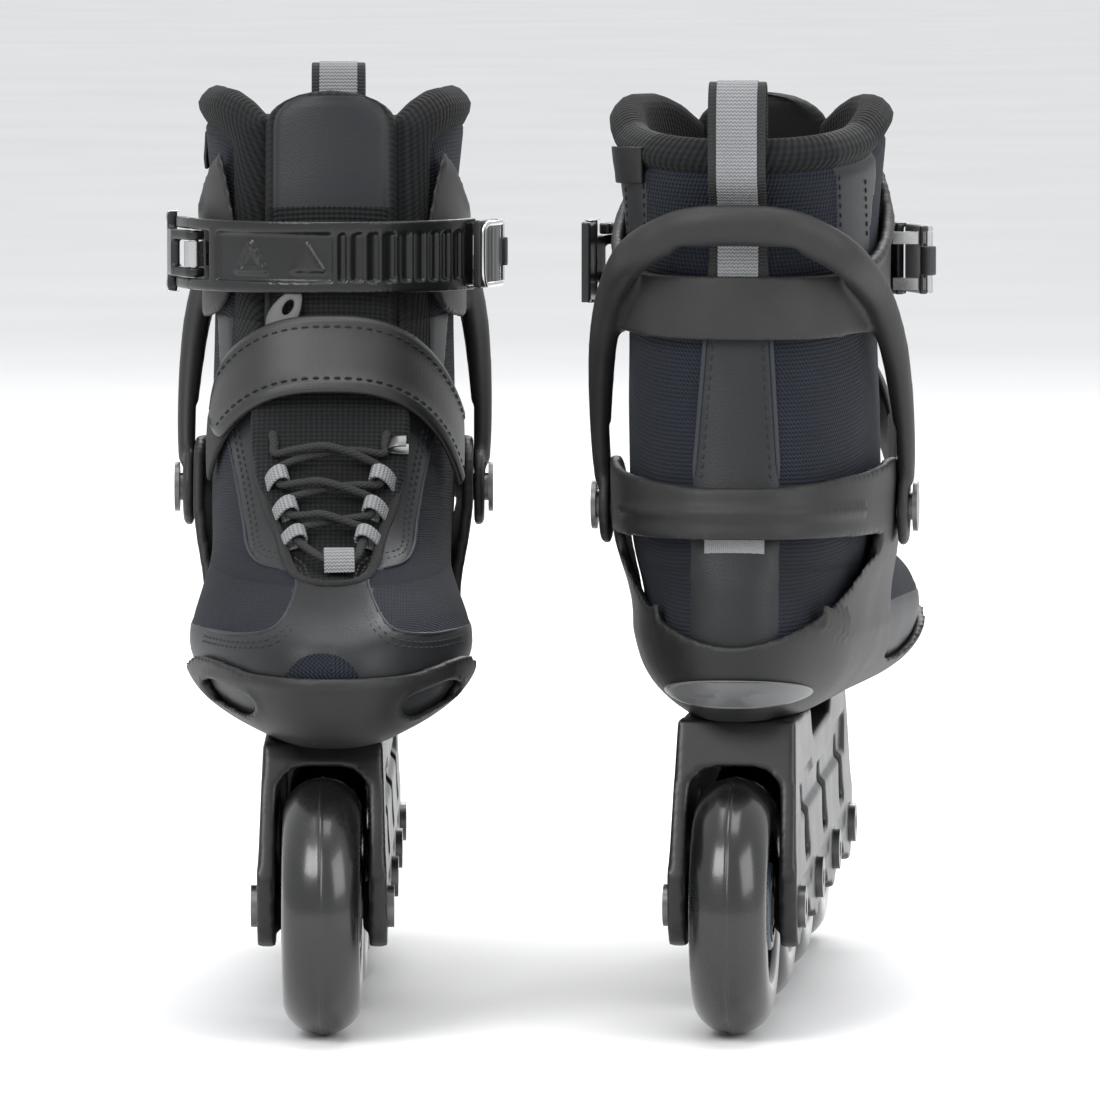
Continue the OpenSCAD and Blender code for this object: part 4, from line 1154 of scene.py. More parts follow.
@dataclass
class Upper:
    """The textile upper: boot and padded collar in one piece, open along the throat."""

    throat: Curve1D = field(default_factory=lambda: Curve1D(
        (-96.4, 0), (-95.4, 4.2), (-93, 7.4), (-88, 10.6), (-78, 13.2), (-62, 15.8), (-48, 19.8),
        (-34, 22.6), (0, 23)))
    rim: Curve1D = field(default_factory=lambda: Curve1D(
        (-12, 265), (0, 270), (8, 278.5), (18, 285.5), (30, 288), (52, 288), (70, 285), (92, 279), (122, 275.4)))
    overlay: tuple = ((37, 216), (35, 190), (33.4, 182), (30.2, 168.5), (27.3, 154), (25.8, 146), (22, 142.2),
                      (11.4, 139.6), (13.4, 132), (19, 126.2), (30, 123.8), (44, 123.4), (60, 123.4))
    near: tuple = (0, 0.3, 0.8, 1.5, 2.4, 3.6, 5.2, 7.2, 9.6, 12.4, 15.4)
    spread: int = 88
    thin: float = 1.75
    pad: float = 5.0
    knit_front: float = 15.5
    knit_back: float = 10.0
    top_h: float = 150.0

    def rows(self) -> list[float]:
        """Heights of the mesh rows: close where the front line is flat, closest round the throat's end."""
        heights = [0, 0.4, 1, 1.8, 2.8, 4, 5.6, 7.5, 10, 13, 16, 19]
        h = heights[-1]
        while h < FORM.height:
            slope = abs(FORM.front_y(h + 0.4) - FORM.front_y(h)) / 0.4
            y = FORM.front_y(h)
            step = (0.75 if -98 < y < -86 else 2.3) / math.hypot(1, slope)
            h += max(step, 0.25)
            heights.append(min(h, FORM.height))
        return heights

    def edge(self, h: float) -> float:
        """The angle at which the throat's edge crosses the outline at height h."""
        if FORM.front_y(h) <= self.throat.x[0]:
            return 0.0
        low, high = 0.0, 90.0
        for _ in range(26):
            a = (low + high) / 2
            p = FORM.point(a, h)
            if p.x - FORM.swing(p.y) < self.throat(p.y):
                low = a
            else:
                high = a
        return low

    def lift(self, angle: float, h: float) -> float:
        """The height h with the rows above the ankle stretched up to the rim."""
        if h <= self.top_h:
            return h
        y = FORM.point(angle, h).y
        top = self.rim(y) - FORM.sole_z - FORM.rise(y)
        return mix(self.top_h, top, (h - self.top_h) / (FORM.height - self.top_h))

    def row_angles(self, h: float) -> list[float]:
        """Angles of one half of a row: near the throat's edge by distance, then evenly."""
        start = self.edge(h)
        angles = [mix(start, 180, (i / 90) ** 1.25) for i in range(91)]
        points = [FORM.point(a, h) for a in angles]
        along = [0.0]
        for p, q in zip(points, points[1:]):
            along.append(along[-1] + (q - p).length)
        scale = min(1.0, along[-1] / 60)
        wanted = [d * scale for d in self.near]
        wanted += [mix(wanted[-1], along[-1], i / self.spread) for i in range(1, self.spread + 1)]
        result, k = [], 0
        for d in wanted:
            while k < 89 and along[k + 1] < d:
                k += 1
            t = clamp((d - along[k]) / max(along[k + 1] - along[k], 1e-9))
            result.append(mix(angles[k], angles[k + 1], t))
        return result

    def net(self) -> list[list[tuple[float, float]]]:
        """The (angle, height) of every mesh point, row by row."""
        table = []
        for h in self.rows():
            half = self.row_angles(h)
            full = half + [360 - a for a in reversed(half[:-1])]
            table.append([(a, self.lift(a, h)) for a in full])
        return table

    def knit_width(self, y: float) -> float:
        """How far the knitted rim reaches down."""
        return mix(self.knit_front, self.knit_back, ease(5, 70, y))

    def inside_overlay(self, place: Vector) -> bool:
        """Whether a point of the forefoot lies on the smooth overlay, by its place in the front view."""
        x, z = abs(place.x - FORM.swing(place.y)), place.z
        for (x0, z0), (x1, z1) in zip(self.overlay, self.overlay[1:]):
            if z1 <= z <= z0:
                return x < mix(x0, x1, (z0 - z) / max(z0 - z1, 1e-6))
        return z < self.overlay[-1][1]

    def overlay_line(self, inner: bool, inset: float = 0.0, grow: float = 0.2) -> list[Vector]:
        """The overlay's edge down the throat, in under it and round to the side, on the skin."""
        line = smooth_line([(x, z, 0) for x, z in self.overlay[1:-1]], 6)
        places = []
        for i, p in enumerate(line):
            ahead = heading(line, i)
            q = p + Vector((ahead.y, -ahead.x, 0)) * inset
            a, h = FORM.on_front(q.x, q.y)
            places.append(FORM.point(a if inner else 360 - a, h, grow))
        return places

    @staticmethod
    def tree_of(points: Sequence[Vector]) -> KDTree:
        """A search tree of points."""
        tree = KDTree(len(points))
        for i, p in enumerate(points):
            tree.insert(p, i)
        tree.balance()
        return tree

    def build(self) -> bpy.types.Object:
        """The upper as one closed padded piece with its zones as attributes."""
        net = self.net()
        rows, columns = len(net), len(net[0])
        skin = [[FORM.point(a, h) for a, h in row] for row in net]
        normals = [[FORM.normal(clamp(a, 0.8, 359.2), h) for a, h in row] for row in net]
        top = skin[-1]
        throat_line = [skin[j][i] for j in range(rows) for i in (0, -1) if net[j][0][0] > 0.01]
        rim_tree = self.tree_of(self.dense(top))
        throat_tree = self.tree_of(self.dense(throat_line[::2]) + self.dense(throat_line[1::2]))
        seams = self.tree_of([q for inner in (True, False) for q in self.dense(self.overlay_line(inner, 0, 0))])
        zones = {name: [] for name in ("smooth", "knit", "lining")}
        outer, inner_points, uv = [], [], []
        down = [0.0] * columns
        lengths: list[list[float]] = []
        for j in range(rows - 1, -1, -1):
            if j < rows - 1:
                down = [d + (a - b).length for d, a, b in zip(down, skin[j], skin[j + 1])]
            lengths.insert(0, list(down))
        for j in range(rows):
            across = 0.0
            for i in range(columns):
                p, n = skin[j][i], normals[j][i]
                if i:
                    across += (p - skin[j][i - 1]).length
                d_rim, d_throat = rim_tree.find(p)[2], throat_tree.find(p)[2]
                high = ease(205, 232, p.z)
                reach = min(d_rim, d_throat) if p.z > 196 else d_throat
                knit = (self.knit_width(p.y) - reach) if p.z > 196 else -9.0
                smooth = self.zone(p, seams.find(p)[2])
                body = mix(self.thin, self.pad, high)
                d = min(d_rim, d_throat)
                hold = math.sqrt(max(body ** 2 - max(body - d, 0) ** 2, 0))
                puff = 1.5 * high * clamp(math.sin(math.pi * clamp(reach / self.knit_width(p.y)))) if knit > 0 else 0
                puff -= 1.3 * high * math.exp(-(knit / 1.5) ** 2)
                puff += 0.55 * ease(-0.4, 0.5, smooth) * (1 - ease(-1, 1, knit))
                level = puff * ease(0, body, d)
                outer.append(p + n * (hold - body + level))
                inner_points.append(p - n * (hold + body))
                zones["smooth"].append(smooth)
                zones["knit"].append(knit)
                uv.append((across * MM, -lengths[j][i] * MM))
        return self.mesh(rows, columns, outer, inner_points, zones, uv)

    @staticmethod
    def dense(line: Sequence[Vector], step: float = 0.6) -> list[Vector]:
        """Points along a line, close together."""
        result = []
        for a, b in zip(line, line[1:]):
            count = max(1, int((b - a).length / step))
            result += [a.lerp(b, k / count) for k in range(count)]
        return result + [line[-1]]

    def zone(self, p: Vector, seam: float) -> float:
        """How far inside a smooth overlay a point lies, in millimetres; negative outside."""
        values = [-30.0]
        if p.y < 60 and p.z < 215:
            values.append(seam if self.inside_overlay(p) else -seam)
        if p.y < -100:
            oval = (math.hypot((p.x - 0.5) / 11.5, (p.z - 110.5) / 9.5) - 1) * 9
            values = [min(max(values), oval)]
        if p.y > 60:
            values.append(heel_strip(p.z) - abs(p.x))
        if p.y > 72 and p.z > 215:
            values.append(5.8 - abs(abs(p.x) - 34.5) * 1.1)
        return max(values)

    def mesh(self, rows: int, columns: int, outer: list, inner: list, zones: dict, uv: list) -> bpy.types.Object:
        """Joins the outer and inner skins at the rim and the throat, and closes the sole."""
        m = rows * columns
        faces = []
        for j in range(rows - 1):
            for i in range(columns - 1):
                a, b = j * columns + i, (j + 1) * columns + i
                faces.append([a, a + 1, b + 1, b])
                faces.append([m + a, m + b, m + b + 1, m + a + 1])
        faces.append(list(range(columns - 2, -1, -1)))
        faces.append([m + i for i in range(columns - 1)])
        for p in range(columns):
            lowest = inner[p]
            inner[p] = lowest + Vector((0, 0, 3.4))
        obj = mesh_piece("upper", outer + inner, faces)
        mesh = obj.data
        for name, values in zones.items():
            layer = mesh.attributes.new(name, "FLOAT", "POINT")
            full = values + values if name != "lining" else [0.0] * m + [1.0] * m
            layer.data.foreach_set("value", full)
        weave(mesh, uv + uv)
        bm = bmesh.new()
        bm.from_mesh(mesh)
        bmesh.ops.remove_doubles(bm, verts=bm.verts, dist=4e-6)
        bmesh.ops.recalc_face_normals(bm, faces=bm.faces)
        bm.to_mesh(mesh)
        bm.free()
        for polygon in mesh.polygons:
            polygon.use_smooth = True
        return obj


# ---------------------------------------------------------------- trims

def strip(name: str, path: Sequence[Vector], normals: Sequence[Vector], half: float,
          thick: float) -> bpy.types.Object:
    """A flat band along a path, lying on the side its normals point away from, with a UV map in metres.

    Args:
        name: the piece's name.
        path: the middle line in millimetres.
        normals: the band's upward direction at each point.
        half: half the band's width.
        thick: the band's thickness.
    """
    ring = flat_section(half, thick, min(thick / 2 - 0.01, half))
    n, m = len(path), len(ring)
    points, uv, along = [], [], 0.0
    around = [0.0]
    for a, b in zip(ring, ring[1:]):
        around.append(around[-1] + math.hypot(b[0] - a[0], b[1] - a[1]))
    for i, place in enumerate(path):
        if i:
            along += (place - path[i - 1]).length
        ahead = (path[min(i + 1, n - 1)] - path[max(i - 1, 0)]).normalized()
        side = ahead.cross(normals[i]).normalized()
        lift = side.cross(ahead)
        points += [place + side * s + lift * u for s, u in ring]
        uv += [(r * MM, along * MM) for r in around]
    faces = skin_faces(n, m) + [list(range(m)), [(n - 1) * m + j for j in range(m)]]
    obj = mesh_piece(name, points, faces)
    weave(obj.data, uv)
    outwards(obj)
    return soften(obj, 60)


def tube(name: str, path: Sequence[Vector], radius: float, sides: int = 12, flat: float = 1.0,
         up: Callable[[Vector, float], Vector] = lambda p, s: Vector((0, 0.2, 1))) -> bpy.types.Object:
    """A round cord with domed ends and a UV map: once round is 1, along it in metres."""
    n = len(path)
    lengths = [0.0]
    for a, b in zip(path, path[1:]):
        lengths.append(lengths[-1] + (b - a).length)
    points, uv = [], []
    ends = ((0, 0.35), (0.06, 0.75), (0.22, 1.0))
    shares = {0: ends[0][1], 1: ends[1][1], n - 2: ends[1][1], n - 1: ends[0][1]}
    for i, place in enumerate(path):
        ahead = (path[min(i + 1, n - 1)] - path[max(i - 1, 0)]).normalized()
        side = ahead.cross(up(place, 0)).normalized()
        lift = side.cross(ahead)
        r = radius * shares.get(i, 1.0)
        for j in range(sides):
            t = 2 * math.pi * j / sides
            points.append(place + side * (r * math.cos(t)) + lift * (r * flat * math.sin(t)))
            uv.append((j / sides, lengths[i] * MM))
    faces = skin_faces(n, sides)
    faces += [list(range(sides)), [(n - 1) * sides + j for j in range(sides)]]
    obj = mesh_piece(name, points, faces)
    layer = obj.data.uv_layers.new(name="weave")
    flat_uv = []
    for polygon in obj.data.polygons:
        seam = any(obj.data.loops[k].vertex_index % sides == sides - 1 for k in polygon.loop_indices) and \
            any(obj.data.loops[k].vertex_index % sides == 0 for k in polygon.loop_indices)
        for k in polygon.loop_indices:
            v = obj.data.loops[k].vertex_index
            u = 1.0 if seam and v % sides == 0 else uv[v][0]
            flat_uv += [u, uv[v][1]]
    layer.data.foreach_set("uv", flat_uv)
    outwards(obj)
    return soften(obj, 70)


def stitches(name: str, line: Sequence[Vector], lift: Callable[[Vector], Vector], length: float = 2.0,
             gap: float = 1.0, radius: float = 0.32) -> bpy.types.Object:
    """A row of small thread stitches along a line, as one mesh.

    Args:
        name: the piece's name.
        line: the seam in millimetres.
        lift: the outward direction at a point of it.
        length: one stitch's length.
        gap: the space between two stitches.
        radius: the thread's radius.
    """
    fine = Upper.dense(line, 0.25)
    walked, run, marks = 0.0, [], []
    for a, b in zip(fine, fine[1:]):
        walked += (b - a).length
        run.append(b)
        if walked >= length and len(run) > 2:
            marks.append((run[0], run[len(run) // 2], run[-1]))
            run, walked = [], -gap
        elif walked < 0:
            run = []
    points, faces = [], []
    for a, middle, b in marks:
        out = lift(middle)
        ahead = (b - a).normalized()
        side = ahead.cross(out).normalized()
        base = len(points)
        for place, r, h in ((a, 0.35, -0.1), (a.lerp(b, 0.22), 1, 0.22), (a.lerp(b, 0.78), 1, 0.22), (b, 0.35, -0.1)):
            for j in range(6):
                t = math.pi * j / 3
                points.append(place + side * (radius * r * math.cos(t)) + out * (radius * r * math.sin(t) + h))
        for i in range(3):
            faces += [[base + i * 6 + j, base + i * 6 + (j + 1) % 6, base + (i + 1) * 6 + (j + 1) % 6,
                       base + (i + 1) * 6 + j] for j in range(6)]
        faces += [[base + j for j in range(6)], [base + 18 + j for j in range(6)]]
    return soften(outwards(mesh_piece(name, points, faces)), 80)


@dataclass
class Tongue:
    """The padded tongue, from under the laces up to its rounded top."""

    half: float = 21.2
    low_y: float = -91.0
    top_z: float = 289.0
    rows: int = 96
    columns: int = 30

    def half_at(self, z: float, y: float) -> float:
        """Half the width: a little more than the throat low down, then full, with a rounded top."""
        half = mix(Upper().throat(y) + 2.6, self.half, ease(188, 204, z))
        left = self.top_z - z
        return half * math.sqrt(max(1 - (1 - clamp(left / 13)) ** 2.6, 0.0004))

    def build(self) -> bpy.types.Object:
        """The tongue as a closed padded piece with zones as attributes."""
        h, heights = 30.0, []
        while FORM.front_y(h) < self.low_y:
            h += 0.5
        start = h
        top = self.top_z - FORM.sole_z - FORM.rise(0)
        line = []
        fine = [mix(start, top, i / 600) for i in range(601)]
        walked = [0.0]
        centre = [Vector((0, FORM.front_y(k), FORM.sole_z + k + FORM.rise(FORM.front_y(k)))) for k in fine]
        for a, b in zip(centre, centre[1:]):
            walked.append(walked[-1] + (b - a).length)
        for i in range(self.rows + 1):
            share = i / self.rows
            want = walked[-1] * (share if share < 0.85 else 1 - (1 - share) ** 1.35 * 0.85 / 0.15 ** 0.35 / 0.85)
            k = min(bisect_right(walked, clamp(want, 0, walked[-1] - 1e-6)), 600)
            line.append(centre[k])
            heights.append(fine[k])
        front, back, knit, smooth = [], [], [], []
        for i, p in enumerate(line):
            ahead = heading(line, i)
            out = Vector((1, 0, 0)).cross(ahead)
            if out.y > 0:
                out = -out
            half = self.half_at(p.z, p.y)
            high = ease(190, 222, p.z)
            thick = mix(2.0, 4.4, high)
            sink = mix(-2.4, -1.0, high) - 1.6 * math.exp(-((p.z - 237) / 13) ** 2)
            for j in range(self.columns + 1):
                s = -math.cos(math.pi * j / self.columns)
                x = half * s
                d = min(half * (1 - abs(s)), (self.top_z - p.z) * 1.1)
                hold = math.sqrt(max(thick ** 2 - max(thick - d, 0) ** 2, 0))
                rim = 2.6 - d
                bend = 3.4 * mix(0.5, 1, high) * s * s
                puff = 0.9 * math.exp(-((d - 1.3) / 1.0) ** 2) * high - 0.7 * math.exp(-((d - 3.0) / 0.7) ** 2) * high
                middle = p + Vector((x + FORM.swing(p.y), 0, 0)) + out * (sink - bend - thick)
                front.append(middle + out * (hold + puff * ease(0, 1.2, d)))
                back.append(middle - out * hold)
                knit.append(rim if p.z > 200 else -9)
                smooth.append((p.z - 251.5) if p.z > 215 else -9)
        m, w = len(front), self.columns + 1
        faces = []
        for i in range(self.rows):
            for j in range(self.columns):
                a, b = i * w + j, (i + 1) * w + j
                faces += [[a, a + 1, b + 1, b], [m + a, m + b, m + b + 1, m + a + 1]]
        faces.append([j for j in range(self.columns, -1, -1)] + [m + j for j in range(1, self.columns)])
        obj = mesh_piece("tongue", front + back, faces)
        for name, values in (("knit", knit), ("smooth", smooth)):
            layer = obj.data.attributes.new(name, "FLOAT", "POINT")
            layer.data.foreach_set("value", values + values)
        layer = obj.data.attributes.new("lining", "FLOAT", "POINT")
        layer.data.foreach_set("value", [0.0] * m + [1.0] * m)
        uv = [((v.x) * MM, (v.z + v.y * 0.4) * MM) for v in front + back]
        weave(obj.data, uv)
        outwards(obj)
        for polygon in obj.data.polygons:
            polygon.use_smooth = True
        return obj

    def at(self, x: float, z: float, grow: float = 0.0) -> tuple[Vector, Vector]:
        """A point of the tongue's face above the strap, with its outward direction."""
        h = z - FORM.sole_z - FORM.rise(0)
        p = Vector((x, FORM.front_y(h), z))
        out = Vector((0, -1, 0.25)).normalized()
        sink = -1.0 - 1.6 * math.exp(-((z - 237) / 13) ** 2)
        return p + out * (sink - 3.4 * (x / self.half) ** 2 + grow), out


@dataclass
class Laces:
    """Crossing laces, their webbing loops, a metal hook and the eyelet tab."""

    radius: float = 1.45
    loop_half: float = 2.9
    rows: tuple = ((-78.0, 0.0), (-65.0, 11.6), (-54.0, 14.0), (-44.0, 16.6), (-35.5, 18.0))
    fold: tuple = ((4.6, -1.2), (3.0, 0.6), (1.0, 2.3), (-1.2, 3.3), (-2.9, 3.1), (-3.7, 1.7), (-3.0, 0.1),
                   (-0.8, -0.5), (2.0, -0.6))

    def frame_of(self, row: int, side: int) -> tuple[Vector, Vector, Vector, Vector]:
        """A loop's place on the skin, and its outward, upward and skin directions."""
        y, half = self.rows[row]

        def skin(at: float, x: float) -> tuple[Vector, Vector]:
            """The skin's point and direction at x from the middle line."""
            a, h = FORM.on_top(side * x + FORM.swing(at), at)
            return FORM.point(a, h), FORM.normal(clamp(a, 1, 359), h)

        place, n = skin(y, half)
        low, high = self.rows[max(row - 1, 1)], self.rows[max(row, 2)]
        up = (skin(high[0], high[1])[0] - skin(low[0], low[1])[0]).normalized() if half else None
        if up is None:
            return place, (skin(y - 4, 0)[0] - place).normalized(), Vector((side, 0, 0)), n
        up = (up - n * up.dot(n)).normalized()
        out = up.cross(n)
        return place, (out if out.x * side > 0 else -out), up, n

    def at(self, row: int, side: int, out: float, up: float, grow: float) -> Vector:
        """A point beside a loop, by its distances outwards, upwards and off the skin."""
        place, o, u, n = self.frame_of(row, side)
        return place + o * out + u * up + n * grow

    def over(self, a: Vector, b: Vector, share: float, grow: float) -> Vector:
        """A point between two points, held above the tongue."""
        p = a.lerp(b, share)
        angle, h = FORM.on_top(p.x, p.y)
        return FORM.point(angle, h) + FORM.normal(clamp(angle, 1, 359), h) * grow

    def runs(self) -> list[bpy.types.Object]:
        """Two laces from the bottom loop, crossing between the rows."""
        made = []
        for first in (1, -1):
            path, side = [self.at(0, first, 0, -0.6, 1.6)], first
            path.append(self.at(0, first, 0.6, 4.6, 1.7))
            for row in (1, 2, 3):
                path += [self.at(row, side, -1.6, up, 1.5) for up in (-3.6, 0, 3.4)]
                ahead = self.at(row + 1, -side, -1.6, -3.6, 1.5)
                top = (first > 0) == (row % 2 > 0)
                path += [self.over(path[-1], ahead, t, 1.3 + (2.9 if top and t == 0.5 else 1.2 if top else 0))
                         for t in (0.22, 0.5, 0.78)]
                side = -side
            path += [self.at(4, side, -1.6, up, 1.5) for up in (-3, 1, 6)]
            line = smooth_line(path, 6)
            made.append(tube("lace", line, self.radius, 14, 0.78, lambda p, s: Vector((0, -0.6, 1))))
        return made

    def loops(self) -> bpy.types.Object:
        """The webbing loops that the laces run through."""
        made = []
        for row in (0, 1, 2, 3):
            for side in (-1, 1) if row else (1,):
                stretch = 1.15 if row == 3 and side > 0 else 1.0
                path = smooth_line([self.at(row, side, o * stretch, 0, g) for o, g in self.fold], 5)
                _, o, u, n = self.frame_of(row, side)
                ups = [u.cross(heading(path, i))
                       for i in range(len(path))]
                if ups[8].dot(n) < 0:
                    ups = [-v for v in ups]
                made.append(strip("loop", path, ups, 4.8 if row == 0 else self.loop_half, 0.9))
        return join(*made)

    def throat_roll(self) -> bpy.types.Object:
        """The rolled black edge round the throat."""
        heights = [h for h in Upper().rows() if FORM.front_y(h) > Upper().throat.x[0] + 0.2 and h < 92]
        right = [FORM.point(Upper().edge(h), h, 0.1) for h in heights]
        left = [FORM.point(360 - Upper().edge(h), h, 0.1) for h in heights]
        line = smooth_line((list(reversed(left)) + right)[::2], 2)
        return tube("roll", line, 1.7, 12)

    def hook(self) -> bpy.types.Object:
        """The bent metal hook above the inner loops, on its rivet."""
        base, _, up, n = self.frame_of(4, 1)
        base = base + Vector((3.0, 0, 0)) + n * 0.8
        side = Vector((1, 0, 0))
        path = [base + side * 3.4 + n * 0.3, base + side * 0.6 + n * 0.5, base - side * 2.4 + n * 1.3,
                base - side * 3.8 + n * 3.0, base - side * 2.6 + n * 4.6, base + side * 0.2 + n * 4.9]
        line = smooth_line(path, 5)
        ups = [up.cross(heading(line, i)) * -1
               for i in range(len(line))]
        band = strip("hook", line, ups, 2.1, 0.8)
        return soften(band, 45)

    def tab(self) -> bpy.types.Object:
        """The leaf-shaped tab beside the tongue, with its oval eyelet."""
        tongue = Tongue()
        ring, hole, count = [], [], 36
        for i in range(count):
            t = 2 * math.pi * i / count
            lx, lz = 4.6 * math.cos(t) * (1 - 0.25 * math.sin(t)), 8.2 * math.sin(t)
            hx, hz = 1.5 * math.cos(t), 2.6 * math.sin(t) + 1.6
            turn = math.radians(-32)
            ring.append((lx * math.cos(turn) - lz * math.sin(turn), lx * math.sin(turn) + lz * math.cos(turn)))
            hole.append((hx * math.cos(turn) - hz * math.sin(turn), hx * math.sin(turn) + hz * math.cos(turn)))
        points, faces = [], []
        for grow in (3.6, 2.2):
            for loop in (ring, hole):
                points += [tongue.at(-14.2 + x, 218 + z, grow)[0] for x, z in loop]
        for i in range(count):
            j = (i + 1) % count
            faces += [[i, j, count + j, count + i], [2 * count + j, 2 * count + i, 3 * count + i, 3 * count + j],
                      [j, i, 2 * count + i, 2 * count + j], [count + i, count + j, 3 * count + j, 3 * count + i]]
        return soften(bevel(outwards(mesh_piece("tab", points, faces)), 0.4, 2, 40), 50)


@dataclass
class InstepStrap:
    """The satin strap over the instep and the hook-and-loop strap that it closes on."""

    gap: float = 2.2
    thick: float = 2.6
    columns: int = 96

    def __post_init__(self) -> None:
        """Takes the strap's place from its packed box."""
        high = in_mm(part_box("right_instep_strap")[1])
        self.width = 26.0
        half = self.width / 2 * math.sin(math.radians(45))
        self.centre_z = high.z - half - 1.6
        h = self.centre_z - FORM.sole_z - FORM.rise(-20)
        self.centre_y = FORM.front_y(h) - 3
        self.back_y = high.y

    def skin(self, x: float, side: int, across: float, grow: float) -> Vector:
        """A point of the strap: where the tilted plane crosses the boot's form at a place round the instep.

        Args:
            x: the share of the way round, 0 at the crest and 1 at the strap's end.
            side: 1 on the inner side and -1 on the lateral side.
            across: the distance from the strap's middle line.
            grow: the distance from the boot.
        """
        angle = x if side > 0 else 360 - x
        step = across * math.sqrt(0.5)
        low, high = 20.0, FORM.height
        for _ in range(24):
            h = (low + high) / 2
            p = FORM.point(angle, h, grow)
            plane = (p.z - self.centre_z) + (p.y - self.centre_y) - 2 * step
            if plane > 0:
                high = h
            else:
                low = h
        return FORM.point(angle, low, grow)

    def last_angle(self, side: int) -> float:
        """The angle at which the strap goes under the shell's wing."""
        angle = 40.0
        while angle < 120 and self.skin(angle, side, 0, self.gap).y < self.back_y - 4:
            angle += 1
        return angle

    def band(self, name: str, end_left: float, end_right: float, half: float, low: float, high: float,
             point_left: float = 0.0, rails: bool = True) -> bpy.types.Object:
        """A band round the instep between two angles, with rounded edges, rails and a rounded tip."""
        rings, n = [], self.columns
        across_steps = [-1, -0.97, -0.9, -0.82, -0.76, -0.7, -0.35, 0, 0.35, 0.7, 0.76, 0.82, 0.9, 0.97, 1]
        for i in range(n + 1):
            a = mix(-end_left, end_right, i / n)
            side = 1 if a >= 0 else -1
            left = (i / n) * (end_left + end_right) * 0.75
            w = half
            if point_left:
                w = half * math.sqrt(max(1 - (1 - clamp(left / point_left)) ** 2.2, 0.02))
            upper, lower = [], []
            for s in across_steps:
                edge = math.sqrt(max(1 - max(abs(s) - 0.9, 0) ** 2 / 0.0101, 0.0))
                rail = 0.55 * math.exp(-((abs(s) - 0.79) / 0.05) ** 2) if rails else 0
                crown = 0.5 * (1 - s * s)
                upper.append(self.skin(abs(a), side, w * s, mix((low + high) / 2, high + rail + crown, edge)))
                lower.append(self.skin(abs(a), side, w * s, mix((low + high) / 2, low, edge)))
            rings.append(upper + list(reversed(lower))[1:-1])
        m = len(rings[0])
        points = [p for ring in rings for p in ring]
        faces = [[i * m + j, i * m + (j + 1) % m, (i + 1) * m + (j + 1) % m, (i + 1) * m + j]
                 for i in range(n) for j in range(m)]
        faces += [list(range(m)), [n * m + j for j in range(m)]]
        obj = mesh_piece(name, points, faces)
        uv, along = [], 0.0
        for i, ring in enumerate(rings):
            if i:
                along += (ring[7] - rings[i - 1][7]).length
            around = 0.0
            for j, p in enumerate(ring):
                if j:
                    around += (p - ring[j - 1]).length
                uv.append((around * MM, along * MM))
        weave(obj.data, uv)
        outwards(obj)
        return soften(obj, 60)

    def build(self) -> tuple[bpy.types.Object, bpy.types.Object, bpy.types.Object]:
        """The top strap, the base strap under it and the stitching."""
        left, right = self.last_angle(-1), self.last_angle(1)
        top = self.band("instep", left - 13, right, self.width / 2, self.gap + 1.1, self.gap + 3.4, 9.0)
        base = self.band("base", left, -8, self.width / 2 - 2.0, self.gap - 0.9, self.gap + 0.9, 0, False)
        seams = []
        for s in (-0.66, 0.66):
            line = [self.skin(abs(a), 1 if a >= 0 else -1, self.width / 2 * s, self.gap + 3.85)
                    for a in [mix(-(left - 19), right, i / 60) for i in range(61)]]
            seams.append(stitches("seam", line, lambda p: Vector((p.x * 0.6, -30, 26)).normalized(), 2.2, 1.1, 0.3))
        return top, base, join(*seams)


